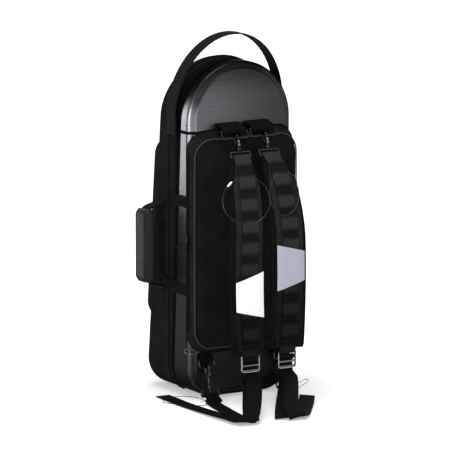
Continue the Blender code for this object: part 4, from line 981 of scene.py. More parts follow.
def soft_foam(node: str, name: str, voxel: float, carrier: Carrier) -> None:
    """A foam piece with a solid's shape, remeshed and smoothed so that its edges are soft.

    Args:
        node: The solid that it stands for.
        name: The piece's name.
        voxel: The size of the remeshed faces.
        carrier: What it rides on.
    """
    obj = solid_copy(node, name)
    modified(obj, "REMESH", mode="VOXEL", voxel_size=voxel, use_smooth_shade=True)
    modified(obj, "SMOOTH", factor=0.5, iterations=3)
    applied(obj)
    normals = [vertex.normal.copy() for vertex in obj.data.vertices]
    for vertex, normal in zip(obj.data.vertices, normals):
        vertex.co += normal * (noise.noise(vertex.co * 120) - 0.6) * 0.0003
    settle(obj, PLUSH, carrier, [node], 180.0)


# The case


@dataclass(frozen=True)
class CaseShape:
    """The outline and stations that the shell, the zip and the lid share."""

    height: float = 0.580
    half_width: float = 0.102
    base_radius: float = 0.052
    back_base: float = 0.063
    back_top: float = 0.030
    lid_base: float = 0.101
    lid_top: float = 0.076
    shell_band: Flat = (0.006, 0.007)
    lid_band: Flat = (0.006, 0.014)
    band_inset: float = 0.0055
    flange: float = 0.0035
    gap: float = 0.0003
    top_steps: int = 72
    corner_steps: int = 20

    @property
    def face_y(self) -> float:
        """The back shell's flat face."""
        return -self.back_base / 2

    @property
    def crown(self) -> float:
        """The height at which the round top starts."""
        return self.height - self.half_width

    def part_way(self, base: float, top: float, z: float) -> float:
        """A size that changes evenly from the floor to the top."""
        return base + (top - base) * z / self.height

    def seam_y(self, z: float) -> float:
        """The plane where the two halves meet."""
        return self.face_y + self.part_way(self.back_base, self.back_top, z)

    def shell_rim_y(self, z: float) -> float:
        """The back shell's rim."""
        return self.seam_y(z) - self.part_way(*self.shell_band, z)

    def lid_rim_y(self, z: float) -> float:
        """The lid's rim."""
        return self.seam_y(z) + self.part_way(*self.lid_band, z)

    def lid_front_y(self, z: float) -> float:
        """The lid's outer face."""
        return self.seam_y(z) + self.part_way(self.lid_base, self.lid_top, z)

    def outline(self, inset: float) -> list[Flat]:
        """The case's outline, drawn in by so much, as (x, z) points."""
        corner, centre = self.base_radius - inset, self.half_width - self.base_radius
        points = arc((0, self.crown), self.half_width - inset, 0, math.pi, self.top_steps)
        points += arc((-centre, self.base_radius), corner, math.pi, 1.5 * math.pi, self.corner_steps)
        points += arc((centre, self.base_radius), corner, 1.5 * math.pi, 2 * math.pi, self.corner_steps)
        return filled(points)

    def ring(self, inset: float, station: Station) -> Ring:
        """One ring round the case."""
        return [Vector((x, station(z), z)) for x, z in self.outline(inset)]

    def edge(self, inset: float, station: Station, radius: float, way: int, steps: int = 8) -> list[Ring]:
        """Rings round an edge.

        Args:
            inset: How far in the edge starts.
            station: Where the face beyond it lies.
            radius: The edge's radius.
            way: -1 towards the harness, 1 towards the lid.
            steps: How many steps the edge has.

        Returns:
            The rings, from the side wall to the face.
        """
        found = []
        for i in range(steps + 1):
            turn = QUARTER * i / steps
            shift = way * radius * (math.sin(turn) - 1)
            found.append(self.ring(inset + radius * (1 - math.cos(turn)), moved(station, shift)))
        return found

    def outs(self, path: Sequence[Vector]) -> list[Vector]:
        """Directions straight out of the case's side wall.

        Args:
            path: Points near the wall.

        Returns:
            One direction for each point.
        """
        found = []
        for point in path:
            if point.z >= self.crown:
                out = Vector((point.x, 0, point.z - self.crown))
            elif point.z <= self.base_radius:
                side = math.copysign(self.half_width - self.base_radius, point.x)
                across = point.x - side if abs(point.x) > abs(side) else 0.0
                out = Vector((across, 0, point.z - self.base_radius))
            else:
                out = Vector((math.copysign(1, point.x), 0, 0))
            found.append(out.normalized())
        return found


def filled(points: list[Flat], long_side: float = 0.2, short_side: float = 0.05) -> list[Flat]:
    """An outline with points added along its straight sides, so that they bend and weave evenly.

    Args:
        points: The outline.
        long_side: The length over which a side gets 32 steps.
        short_side: The length over which it gets 8.

    Returns:
        The outline's points.
    """
    found = []
    for first, second in zip(points, [*points[1:], points[0]]):
        span = math.dist(first, second)
        steps = 32 if span > long_side else 8 if span > short_side else 1
        found += [tuple(a + (b - a) * i / steps for a, b in zip(first, second)) for i in range(steps)]
    return found


def flat_at(y: float) -> Station:
    """A station in one upright plane."""
    return lambda z: y


def moved(station: Station, step: float) -> Station:
    """A station shifted by so much."""
    return lambda z: station(z) + step


@dataclass
class HardShell:
    """The brushed back shell with its raised face."""

    shape: CaseShape
    wall: float = 0.003
    edge_radius: float = 0.009
    ledge: float = 0.0045
    panel_inset: float = 0.0115
    panel_radius: float = 0.0027
    foot_radius: float = 0.0022
    foot_depth: float = 0.7
    foot_steps: int = 5
    strap_z: float = 0.4628
    strap_width: float = 0.0052
    strap_thickness: float = 0.0009

    def outside(self) -> list[Ring]:
        """Rings from the rim round the edges to the flat face."""
        shape = self.shape
        ledge = shape.face_y + self.ledge
        inset, foot = self.panel_inset, self.foot_radius
        rings = [
            shape.ring(0, shape.shell_rim_y),
            shape.ring(0, flat_at((shape.face_y + shape.shell_rim_y(shape.height)) / 2)),
            *shape.edge(0, flat_at(ledge), self.edge_radius, -1, 10),
        ]
        for i in range(1, self.foot_steps + 1):
            turn = QUARTER * i / self.foot_steps
            station = flat_at(ledge - foot * (1 - math.cos(turn)) * self.foot_depth)
            rings.append(shape.ring(inset - foot * (1 - math.sin(turn)), station))
        return [*rings, *shape.edge(inset, flat_at(shape.face_y), self.panel_radius, -1)]

    def inside(self) -> list[Ring]:
        """Rings of the inner wall, from the floor to the flange."""
        shape, wall = self.shape, self.wall
        floor = shape.face_y + wall
        bend = self.edge_radius - wall
        flange = shape.band_inset - shape.gap
        return [
            shape.ring(self.panel_inset + 2 * wall, flat_at(floor)),
            shape.ring(self.panel_inset + wall, flat_at(floor + self.ledge)),
            shape.ring(bend + wall, flat_at(floor + self.ledge)),
            shape.ring(wall, flat_at(floor + self.ledge + bend)),
            shape.ring(wall, moved(shape.shell_rim_y, -shape.flange - wall)),
            shape.ring(flange, moved(shape.shell_rim_y, -shape.flange)),
            shape.ring(flange, shape.shell_rim_y),
        ]

    def build(self) -> None:
        """Make the shell, and the strap from the pocket's top corner over the left edge to the zip."""
        skin = Skin().rings([*self.inside(), *self.outside()])
        skin.make("brushed_back_shell", BRUSHED_SHELL, BACK, ["back_shell"], 30.0)
        face, side, rim = self.shape.face_y, -self.shape.half_width, self.shape.shell_rim_y(self.strap_z)
        route = (
            (-0.066, face - 0.0012), (-0.0880, face - 0.0012), (side + 0.0102, face + 0.0026),
            (side + 0.0062, face + 0.0042), (side + 0.0012, face + 0.0082), (side - 0.0006, face + 0.0140),
            (side - 0.0006, rim - 0.0010), (side + 0.0028, rim + 0.0006),
        )
        path = smooth_path([(x, y, self.strap_z) for x, y in route], 6)
        strap = Skin().band(path, UPWARD, self.strap_width, self.strap_thickness)
        strap.make("edge_cross_strap", BINDING, BACK)


@dataclass
class MainZip:
    """The zip between the halves: two tapes, two rows of coil, and the fabric hinge."""

    shape: CaseShape
    tape: float = 0.0020
    row: float = 0.0050
    row_width: float = 0.003
    rise: float = 0.0008
    coil_y: float = 0.0013
    pitch: float = 0.0021
    tooth: Triple = (0.0013, 0.0028, 0.0007)
    hinge_side: float = 0.09
    coil_ends: Flat = (0.07, 0.46)
    hinge_x: float = 0.0983
    hinge_ends: Flat = (0.072, 0.458)
    hinge_half: float = 0.0006
    hinge_bow: float = 0.0010

    def build(self) -> None:
        """Make both halves and the hinge between them."""
        shape = self.shape
        for name, root, way, carrier in (
            ("back", moved(shape.shell_rim_y, -shape.flange), -1, BACK),
            ("lid", moved(shape.lid_rim_y, shape.flange), 1, LID),
        ):
            seam = moved(shape.seam_y, way * shape.gap)
            row = moved(seam, way * self.row)
            band, crest = shape.band_inset, shape.band_inset - self.rise
            rings = [
                shape.ring(inset, station)
                for inset, station in (
                    (band, root), (band, moved(row, way * self.row_width)), (band, row),
                    (crest + 0.0002, moved(row, -way * self.rise)), (crest + 0.0004, seam),
                    (band + self.tape, seam), (band + self.tape, root),
                )
            ]
            Skin().rings(rings, loop=True).make(f"zip_band_{name}", ZIP_TAPE, carrier, [f"zip_tape_{name}"])
            self.build_coil(name, way, carrier)
        fold = Carrier("case_back", "case_lid", (0.1, 0.000, 0.26), (0.1, 0.030, 0.26))
        Skin().rings(self.hinge_rings()).make("fabric_hinge", WEBBING, fold, ["hinge_strip"])

    def build_coil(self, name: str, way: int, carrier: Carrier) -> None:
        """One row of coil, left out on the hinge side.

        Args:
            name: The half that carries it.
            way: -1 towards the harness, 1 towards the lid.
            carrier: What it rides on.
        """
        low, high = self.coil_ends
        ring = self.shape.ring(
            self.shape.band_inset - self.rise + 0.0004, moved(self.shape.seam_y, way * self.coil_y)
        )
        path = opened([p for p in ring if not (p.x > self.hinge_side and low < p.z < high)])
        coil = Skin().bricks(path, self.shape.outs(path), self.pitch, self.tooth)
        coil.make(f"zip_coil_{name}", ZIP_COIL, carrier)

    def hinge_rings(self) -> list[Ring]:
        """The cloth strip down the right side, bowed a little outwards."""
        rings = []
        for i in range(25):
            z = self.hinge_ends[0] + (self.hinge_ends[1] - self.hinge_ends[0]) * i / 24
            near, far = self.shape.shell_rim_y(z) + 0.0003, self.shape.seam_y(z) + 0.0015
            ring = []
            for half, steps in ((self.hinge_half, range(7)), (-self.hinge_half, range(6, -1, -1))):
                for j in steps:
                    x = self.hinge_x + half + math.sin(math.pi * j / 6) * self.hinge_bow
                    ring.append(Vector((x, near + (far - near) * j / 6, z)))
            rings.append(ring)
        return rings


@dataclass
class PaddedLid:
    """The cloth covered lid: its shell, its piping and its plush lining."""

    shape: CaseShape
    wall: float = 0.0045
    edge_radius: float = 0.020
    edge_steps: int = 9
    rim: float = 0.0007
    rim_insets: Flat = (0.0012, 0.0003)
    side_shares: tuple[float, ...] = (0.08, 0.2, 0.32, 0.44, 0.56, 0.68, 0.8, 0.92)
    face_shares: tuple[float, ...] = (0.06, 0.2, 0.4, 0.6, 0.8, 0.97)
    face_middle: float = 0.27
    piping_y: float = 0.043
    piping_radius: float = 0.0015
    softness: float = 0.0007
    stitch_offset: float = 0.0042
    stitch: Triple = (0.0029, 0.0006, 0.00045)

    def rings(self) -> list[Ring]:
        """Rings from the inner floor round the rim to the outer face."""
        shape = self.shape
        inner = moved(shape.lid_front_y, -self.wall)
        flange = shape.band_inset - shape.gap
        hard = [
            shape.ring(self.edge_radius, inner),
            shape.ring(self.wall, moved(inner, -self.edge_radius)),
            shape.ring(self.wall, moved(shape.lid_rim_y, shape.flange + self.wall)),
            shape.ring(flange, moved(shape.lid_rim_y, shape.flange)),
            shape.ring(flange, shape.lid_rim_y),
            shape.ring(self.rim_insets[0], shape.lid_rim_y),
            shape.ring(self.rim_insets[1], moved(shape.lid_rim_y, self.rim)),
        ]
        padded = [shape.ring(0, self.side_station(share)) for share in self.side_shares]
        padded += shape.edge(0, shape.lid_front_y, self.edge_radius, 1, self.edge_steps)
        padded += [self.face_ring(share) for share in self.face_shares]
        return [*hard, *([self.soft(point) for point in ring] for ring in padded)]

    def side_station(self, share: float) -> Station:
        """A station between the rim and the start of the rounded edge."""
        low, high = moved(self.shape.lid_rim_y, self.rim), moved(self.shape.lid_front_y, -self.edge_radius)
        return lambda z: low(z) + (high(z) - low(z)) * share

    def face_ring(self, share: float) -> Ring:
        """A ring on the outer face, drawn towards its middle."""
        centre = Vector((0, 0, self.face_middle))
        flats = [Vector((x, 0, z)).lerp(centre, share) for x, z in self.shape.outline(self.edge_radius)]
        return [Vector((flat.x, self.shape.lid_front_y(flat.z), flat.z)) for flat in flats]

    def soft(self, point: Vector) -> Vector:
        """A point of the cloth, let in a little where the padding is slack."""
        centre = Vector((0, 0.06, min(max(point.z, 0.06), 0.47)))
        out = (point - centre).normalized()
        slack = noise.noise(point * 14) * 0.6 + noise.noise(point * 33) * 0.4
        return point + out * (slack - 0.5) * self.softness

    def build(self) -> None:
        """Make the cover, the piping with a row of stitches on each side, and the lining."""
        Skin().rings(self.rings()).make("padded_lid_cover", CASE_CLOTH, LID, ["lid_shell"], 50.0)
        ring = self.shape.ring(self.softness - self.piping_radius, flat_at(self.piping_y))
        low = min(range(len(ring)), key=lambda i: (ring[i].x > 0, abs(ring[i].z - 0.004)))
        order = opened([p for p in ring[low:] + ring[:low] if p.z > self.piping_radius * 2], 0.03)
        Skin().tube(order, self.piping_radius, 10).make("lid_seam_piping", DARK_PIPING, LID, ["lid_piping"])
        stitches = Skin()
        for y in (self.piping_y - self.stitch_offset, self.piping_y + self.stitch_offset):
            ring = self.shape.ring(-0.0001, flat_at(y))
            path = opened([p for p in ring if p.z > 0.10 or abs(p.x) > 0.07], 0.03)
            stitches.bricks(path, self.shape.outs(path), 0.0042, self.stitch)
        stitches.make("lid_seam_stitches", THREAD, LID)
        soft_foam("lid_lining", "plush_lid_lining", 0.004, LID)


@dataclass
class InsideFoam:
    """What the case holds inside: the bed, the stay across the instrument and the block."""

    shape: CaseShape
    depth: float = 0.0045
    stay_z: float = 0.405
    stay_x: float = -0.016
    stay_length: float = 0.110
    stay_width: float = 0.025
    stay_rise: float = 0.004
    patch: float = 0.030
    thickness: float = 0.0016
    stitch: Triple = (0.0022, 0.0006, 0.0004)

    def build(self) -> None:
        """Make the bed, the block and the stay."""
        soft_foam("foam_bed", "plush_foam_bed", 0.0032, BACK)
        soft_foam("mouthpiece_block", "plush_mouthpiece_block", 0.0016, BACK)
        face = [self.shape.shell_rim_y(z) - self.depth for z in (0.0, self.shape.height)]
        up = Vector((0, face[1] - face[0], self.shape.height)).normalized()
        out = Vector((0, up.z, -up.y))
        half, rise = self.stay_length / 2, self.stay_rise
        seat = Vector((self.stay_x, self.shape.shell_rim_y(self.stay_z) - self.depth, self.stay_z))
        places = (-half, -half + self.patch, -self.patch / 2, self.patch / 2, half - self.patch, half)
        points = [
            seat + RIGHTWARD * x + out * (lift + 0.0006 + self.thickness / 2)
            for x, lift in zip(places, (0, 0, rise, rise, 0, 0))
        ]
        band = Skin().band(smooth_path(points, 6), up, self.stay_width, self.thickness)
        band.make("instrument_stay_band", WEBBING, BACK, ["instrument_stay"])
        skin = Skin()
        for x in (-half + 0.003, -half + self.patch - 0.004, half - self.patch + 0.004, half - 0.003):
            line = [seat + RIGHTWARD * x + up * v + out * 0.0024 for v in (-0.010, 0.0, 0.010)]
            skin.bricks(line, out, 0.0030, self.stitch)
        skin.make("instrument_stay_stitches", THREAD, BACK)


# Pockets


@dataclass
class ZipStrip:
    """A pocket's straight zip: a tape and two rows of coil on it."""

    name: str
    carrier: Carrier
    width: float = 0.008
    thickness: float = 0.0008
    row: float = 0.0009
    rise: float = 0.0003
    pitch: float = 0.0019
    tooth: Triple = (0.0011, 0.0019, 0.0005)

    def build(self, path: Sequence[Vector], out: Vector) -> None:
        """Make the tape and the coil.

        Args:
            path: The zip's middle line.
            out: The direction away from the pocket.
        """
        tape = Skin().band(path, LIDWARD, self.width, self.thickness)
        tape.make(f"{self.name}_zip_band", ZIP_TAPE, self.carrier, [f"{self.name}_pocket_zip"])
        coil = Skin()
        for side in (-1, 1):
            line = [point + out * self.rise + LIDWARD * side * self.row for point in path]
            coil.bricks(line, out, self.pitch, self.tooth)
        coil.make(f"{self.name}_zip_coil", ZIP_COIL, self.carrier)


@dataclass
class MusicPocket:
    """The flat music pocket on the back shell, with its piping and side zip."""

    shape: CaseShape
    top: float = 0.466
    base: float = 0.080
    lip: float = 0.0010
    depth: float = 0.014
    seam: float = 0.001
    crown: float = 0.004
    slack_room: float = 0.0012
    bulge: float = 0.0012
    draw_in: float = 0.0010
    wrap: float = 0.011
    wrap_sides: Flat = (0.0875, 0.103)
    root: float = 0.0006
    shoulder: float = 0.015
    toe: float = 0.011
    draw: float = 0.003
    corner: float = 0.032
    piping_radius: float = 0.0013
    binding_radius: float = 0.0012
    gusset_shares: tuple[float, ...] = (0.3, 0.55, 0.8, 0.94)
    panel_shares: tuple[float, ...] = (0.0, 0.02, 0.06, 0.12, 0.2, 0.3, 0.42, 0.55, 0.7, 0.85, 0.97)
    swollen: float = 0.34
    stitch: Triple = (0.0028, 0.0006, 0.0005)
    zip_ends: Flat = (0.120, 0.428)
    zip_y: float = 0.0045
    zip_seat: float = 0.0004

    @property
    def front(self) -> float:
        """The panel's own plane."""
        return self.shape.face_y - self.depth

    @property
    def middle(self) -> Vector:
        """The middle of the panel."""
        return Vector((0, 0, (self.top + self.base) / 2))

    def outline(self, draw: float) -> list[Flat]:
        """The pocket's outline at the gusset (0) or at the panel (1), as (x, z) points."""
        half = self.shape.half_width + self.lip - draw * self.draw
        top, base = self.top - draw * self.shoulder, self.base + draw * self.toe
        return filled(rounded_corners((half, top), (-half, base), self.corner, 10))

    def beside(self, draw: float, out: float, station: Station) -> Ring:
        """The outline moved outwards.

        Args:
            draw: Which outline it is, from the gusset's (0) to the panel's (1).
            out: How far it is moved.
            station: Where it lies at each x.

        Returns:
            Its points.
        """
        found = []
        for x, z in self.outline(draw):
            flat = Vector((x, 0, z)) - self.middle
            flat += flat.normalized() * out
            found.append(Vector((flat.x, station(x), flat.z)) + self.middle)
        return found

    def root_y(self, x: float) -> float:
        """Where the gusset meets the shell: on its face, or round its edge at the sides."""
        low, high = self.wrap_sides
        share = min(1.0, max(0.0, (abs(x) - low) / (high - low)))
        return self.shape.face_y - self.root + (self.wrap + self.root) * share ** 1.6

    def slack(self, x: float, z: float) -> float:
        """How much the empty pocket's cloth sags in or out at a place."""
        slow = noise.noise(Vector((x * 9, 3.1, z * 6)))
        fold = noise.noise(Vector((x * 26, 7.7, z * 12)))
        return slow * 0.0011 + fold * 0.0004

    def rings(self) -> list[Ring]:
        """Rings from the gusset's root over the panel to its middle."""
        seam, front = self.shape.face_y - self.seam, self.front
        rings = [
            [Vector((x, self.root_y(x), z)) for x, z in self.outline(0)],
            [Vector((x, min(self.root_y(x), seam), z)) for x, z in self.outline(0.06)],
        ]
        for share in self.gusset_shares:
            out = math.sin(math.pi * share) * self.bulge - self.draw_in
            rings.append(self.beside(share, out, flat_at(seam + (front - seam) * share)))
        for share in self.panel_shares:
            swell = 1 - (1 - min(1.0, share / self.swollen)) ** 2
            flats = [Vector((x, 0, z)).lerp(self.middle, share) for x, z in self.outline(1)]
            rise = (self.crown - self.slack_room) * swell
            rings.append([Vector((p.x, front - rise + self.slack(p.x, p.z) * swell, p.z)) for p in flats])
        return rings

    def build(self) -> None:
        """Make the bag, its piping, the bound seam on the shell, the stitches and the side zip."""
        bag = Skin().rings(self.rings(), caps=(-1,))
        bag.make("music_pocket_bag", POCKET_CLOTH, BACK, ["music_pocket"], 70.0)
        outer = self.piping_radius + self.shape.gap
        edge = self.beside(1, outer, flat_at(self.front - outer * 0.6))
        piping = Skin().tube(edge, self.piping_radius, 10, True)
        piping.make("music_pocket_edge_piping", PIPING, BACK, ["music_pocket_piping"])
        seam = self.beside(0, -0.0004, moved(self.root_y, -self.seam))
        Skin().tube(seam, self.binding_radius, loop=True).make("music_pocket_binding", BINDING, BACK)
        line = self.beside(1, -0.0042, flat_at(self.front - 0.0008))
        stitches = Skin().bricks([*line, line[0]], -LIDWARD, 0.0040, self.stitch)
        stitches.make("music_pocket_stitches", THREAD, BACK)
        x = -self.shape.half_width - self.lip - self.shape.gap - self.zip_seat
        low, high = self.zip_ends
        path = [Vector((x, self.shape.face_y + self.zip_y, low + (high - low) * i / 40)) for i in range(41)]
        ZipStrip("music", BACK).build(path, -RIGHTWARD)


@dataclass
class FrontPocket:
    """The accessory pocket on the lid, with its piping and its top zip."""

    shape: CaseShape
    top: float = 0.440
    base: float = 0.110
    width: float = 0.174
    depth: float = 0.033
    corner: float = 0.034
    least_corner: float = 0.004
    edge: float = 0.012
    edge_steps: int = 6
    seam: Flat = (0.0006, 0.0004)
    crown: float = 0.004
    slack: float = 0.0014
    slack_room: float = 0.0015
    bulge: float = 0.0015
    piping_radius: float = 0.0013
    side_shares: tuple[float, ...] = (0.15, 0.35, 0.55, 0.75, 0.9)
    face_shares: tuple[float, ...] = (0.05, 0.12, 0.22, 0.35, 0.5, 0.68, 0.85, 0.97)
    swollen: float = 0.4
    stitch: Triple = (0.0028, 0.0006, 0.0006)
    zip_half: float = 0.052

    def ring(self, inset: float, out: float) -> Ring:
        """One ring, parallel to the lid's face.

        Args:
            inset: How far it is drawn in from the pocket's sides.
            out: How far it lies out from the lid.

        Returns:
            The ring.
        """
        middle = (self.top + self.base) / 2
        corner = max(self.least_corner, self.corner - inset)
        points = rounded_rectangle(self.width - 2 * inset, self.top - self.base - 2 * inset, corner, 10)
        return [Vector((x, self.shape.lid_front_y(middle + z) + out, middle + z)) for x, z in filled(points)]

    def rings(self) -> list[Ring]:
        """Rings from the seam on the lid to the middle of the pocket's face."""
        rings = [self.ring(*self.seam)]
        for share in self.side_shares:
            inset = 2 * self.seam[0] - math.sin(math.pi * share) * self.bulge
            rings.append(self.ring(inset, (self.depth - self.edge) * share + 0.001))
        for i in range(self.edge_steps + 1):
            turn = QUARTER * i / self.edge_steps
            out = self.depth - self.edge * (1 - math.sin(turn))
            rings.append(self.ring(self.edge * (1 - math.cos(turn)) + self.seam[0], out))
        middle = Vector((0, 0, (self.top + self.base) / 2))
        for share in self.face_shares:
            swell = 1 - (1 - min(1.0, share / self.swollen)) ** 2
            ring = []
            for point in self.ring(self.edge, self.depth):
                flat = Vector((point.x, 0, point.z)).lerp(middle, share)
                slack = noise.noise(Vector((flat.x * 12, 1.7, flat.z * 9))) * self.slack
                out = self.depth + (self.crown - self.slack_room) * swell + slack * swell
                ring.append(Vector((flat.x, self.shape.lid_front_y(flat.z) + out, flat.z)))
            rings.append(ring)
        return rings

    def build(self) -> None:
        """Make the bag, its piping, the stitches and the zip across the top."""
        bag = Skin().rings(self.rings()).make("front_pocket_bag", POCKET_CLOTH, LID, ["front_pocket"], 70.0)
        outer = self.piping_radius + self.shape.gap
        piping = Skin().tube(self.ring(-outer, outer), self.piping_radius, 10, True)
        piping.make("front_pocket_seam_piping", PIPING, LID, ["front_pocket_piping"])
        edge = self.ring(self.edge * 0.45, self.depth - self.edge * 0.12)
        edge.append(edge[0])
        middle = (self.top + self.base) / 2
        outs = [(Vector((p.x, 0, p.z - middle)).normalized() * 0.6 + LIDWARD).normalized() for p in edge]
        Skin().bricks(edge, outs, 0.0040, self.stitch).make("front_pocket_stitches", THREAD, LID)
        y, z = self.shape.lid_front_y(self.top) + self.depth / 2, self.top + 0.0007
        path = [Vector((-self.zip_half + 2 * self.zip_half * i / 26, y, z)) for i in range(27)]
        ZipStrip("front", LID).build(path, UPWARD)


# Handles


@dataclass
class TopHandle:
    """The webbing arch over the case, and the patches that its legs are tacked to."""

    shape: CaseShape
    foot_z: float = 0.490
    rise: float = 0.135
    leg: float = 0.036
    width: float = 0.030
    thickness: float = 0.0022
    y: float = 0.024
    patch_thickness: float = 0.0030
    patch_gap: float = 0.0006
    patch_bevel: float = 0.0006
    lean: float = 0.018
    leg_steps: int = 6
    arch_steps: int = 72
    stitch_y: float = 0.0115
    stitch: Triple = (0.0028, 0.0007, 0.0004)
    tack_stitch: Triple = (0.0025, 0.0007, 0.0004)
    tack_half: float = 0.010
    tack_ends: Flat = (0.004, 0.006)

    def arch(self) -> list[Vector]:
        """The arch's middle line, from the right foot to the left foot."""
        half = self.shape.half_width + self.patch_thickness + self.patch_gap + self.thickness / 2
        steps = self.leg_steps
        right = [Vector((half, self.y, self.foot_z - self.leg + self.leg * i / steps)) for i in range(steps)]
        over = []
        for i in range(self.arch_steps + 1):
            turn = math.pi * i / self.arch_steps
            y = self.y - self.lean * math.sin(turn) ** 1.2
            over.append(Vector((half * math.cos(turn), y, self.foot_z + self.rise * math.sin(turn))))
        return [*right, *over, *[Vector((-p.x, p.y, p.z)) for p in reversed(right)]]

    def build(self) -> None:
        """Make the webbing, its edge stitches, the box tacks and the patches."""
        path = self.arch()
        carrier = Carrier("top_carry_handle")
        band = Skin().band(path, LIDWARD, self.width, self.thickness)
        band.make("top_handle_webbing", HANDLE_WEBBING, carrier, ["top_handle"])
        outs = [Vector((p.x, 0, p.z - self.foot_z)).normalized() for p in path]
        skin = Skin()
        for side in (-1, 1):
            line = [p + o * self.thickness / 2 + LIDWARD * side * self.stitch_y for p, o in zip(path, outs)]
            skin.bricks(line, outs, 0.0040, self.stitch)
        for side in (-1, 1):
            self.add_box_tack(skin, side)
        skin.make("top_handle_stitches", THREAD, carrier)
        for side in Side:
            name = f"top_handle_{side.word}"
            bevelled(f"{name}_patch", f"{name}_tack_patch", self.patch_bevel, DARK_WEBBING, LID)

    def add_box_tack(self, skin: Skin, side: int) -> None:
        """A stitched box with a cross in it on one leg.

        Args:
            skin: The piece that it becomes part of.
            side: -1 for the left leg, 1 for the right one.
        """
        x = side * (self.shape.half_width + self.patch_thickness + self.patch_gap + self.thickness)
        low, high = self.foot_z - self.leg + self.tack_ends[0], self.foot_z - self.tack_ends[1]
        near, far = self.y - self.tack_half, self.y + self.tack_half
        corners = [Vector((x, y, z)) for y, z in ((near, low), (far, low), (far, high), (near, high))]
        for a, b in ((0, 1), (1, 2), (2, 3), (3, 0), (0, 2), (1, 3)):
            skin.bricks([corners[a], corners[b]], RIGHTWARD * side, 0.0034, self.tack_stitch)


@dataclass
class SideHandle:
    """The padded grip on the left, its webbing, and the bands that cross the zip."""

    shape: CaseShape
    z: float = 0.2605
    y: float = 0.055
    length: float = 0.127
    width: float = 0.038
    thickness: float = 0.020
    clearance: float = 0.029
    edge: float = 0.006
    reach: float = 0.077
    foot: float = 0.0072
    rings: int = 48
    web: Flat = (0.026, 0.0026)
    web_bend: Flat = (-0.1100, -0.1300)
    piping_radius: float = 0.0011
    piping_inset: Flat = (0.0035, 0.0045)
    seam_stitch: Triple = (0.0025, 0.0006, 0.0005)
    band: Flat = (0.020, 0.0014)
    band_edge: float = 0.0082
    tack_stitch: Triple = (0.0022, 0.0007, 0.0004)
    edge_stitch: Triple = (0.0028, 0.0005, 0.0004)

    @property
    def middle_x(self) -> float:
        """The grip's middle, out from the left wall."""
        return -self.shape.half_width - self.clearance - self.thickness / 2

    def section(self, share: float) -> list[Flat]:
        """The grip's section at a share of its length, as (along Y, along X) points."""
        ease = math.sqrt(max(0.0, 1 - abs(2 * share - 1) ** 9))
        width = self.width - 2 * self.edge * (1 - ease)
        thickness = self.thickness - self.edge * (1 - ease)
        return rounded_rectangle(width, thickness, min(self.edge, thickness * 0.42), 5)

    def build(self) -> None:
        """Make the grip, its seams, the webbing that bends between wall and grip, and the bands."""
        carrier = Carrier("side_carry_handle")
        rings = []
        for i in range(self.rings + 1):
            share = 0.5 - 0.5 * math.cos(math.pi * i / self.rings)
            z = self.z + self.length * (share - 0.5)
            pillow = 1 + 0.02 * math.sin(math.pi * share)
            ring = []
            for u, v in self.section(share):
                dent = noise.noise(Vector((u * 60, v * 60, z * 40))) * 0.00025
                ring.append(Vector((self.middle_x + v * pillow + dent, self.y + u, z)))
            rings.append(ring)
        grip = Skin().rings(rings).make("side_grip_wrap", VINYL, carrier, ["side_handle_grip"], 60.0)
        self.build_grip_seams(carrier)
        bend = Carrier("case_lid", carrier.body, *((x, self.y, self.z) for x in self.web_bend))
        web = Skin().band(self.core_path(), LIDWARD, *self.web)
        web.make("side_grip_webbing", WEBBING, bend, ["side_handle_webbing"])
        self.build_bands()

    def build_grip_seams(self, carrier: Carrier) -> None:
        """Piping round the wrap's outer edge and stitches beside it."""
        width, length = self.width - 2 * self.piping_inset[0], self.length - 2 * self.piping_inset[1]
        x = self.middle_x - self.thickness / 2 + 0.0012
        outline = [Vector((x, self.y + u, self.z + v)) for u, v in rounded_rectangle(width, length, 0.007)]
        Skin().tube(outline, self.piping_radius, loop=True).make("side_grip_piping", DARK_PIPING, carrier)
        inside = rounded_rectangle(width - 0.007, length - 0.007, 0.005)
        inner = [Vector((x - 0.0012, self.y + u, self.z + v)) for u, v in [*inside, inside[0]]]
        stitches = Skin().bricks(inner, -RIGHTWARD, 0.0036, self.seam_stitch)
        stitches.make("side_grip_stitches", THREAD, carrier)

    def core_path(self) -> list[Vector]:
        """The webbing through the grip, from the wall above it to the wall below it."""
        foot, out, half = -self.shape.half_width - self.foot, self.middle_x, self.length / 2
        bend = foot + (out - foot) * 0.5 * 0.35
        near = self.reach - (self.reach - half) * 0.35
        route = ((foot, self.reach), (bend, near), (out, half * 0.96))
        points = [*route, (out, 0.0), *((x, -z) for x, z in reversed(route))]
        return smooth_path([(x, self.y, self.z + z) for x, z in points], 10)

    def build_bands(self) -> None:
        """The bands from the webbing's feet across the zip to the music pocket."""
        wall = -self.shape.half_width
        near, over = wall - 0.0010, wall - 0.0046
        route = (
            (near, 0.074, 1), (near, 0.0547, 0.7), (over, 0.0466, 0.5), (over, 0.0394, 0.4),
            (near, 0.0313, 0.2), (near, 0.008, 0), (near, -0.0196, 0),
        )
        for name, z, slant in (("upper", self.z + 0.0825, 0.010), ("lower", self.z - 0.0705, -0.010)):
            path = smooth_path([(x, y, z - slant * share) for x, y, share in route], 6)
            band = Skin().band(path, UPWARD, *self.band)
            band.make(f"side_cross_band_{name}", DARK_WEBBING, LID, [f"side_band_{name}"])
            skin = Skin()
            for y in (0.071, 0.060):
                line = [Vector((near - 0.0008, y, z - slant + v)) for v in (-0.008, 0.0, 0.008)]
                skin.bricks(line, -RIGHTWARD, 0.0028, self.tack_stitch)
            for sign in (-1, 1):
                line = [Vector((p.x - 0.0007, p.y, p.z + sign * self.band_edge)) for p in path]
                skin.bricks(line, -RIGHTWARD, 0.0040, self.edge_stitch)
            skin.make(f"side_cross_band_{name}_stitches", THREAD, LID)


# Harness


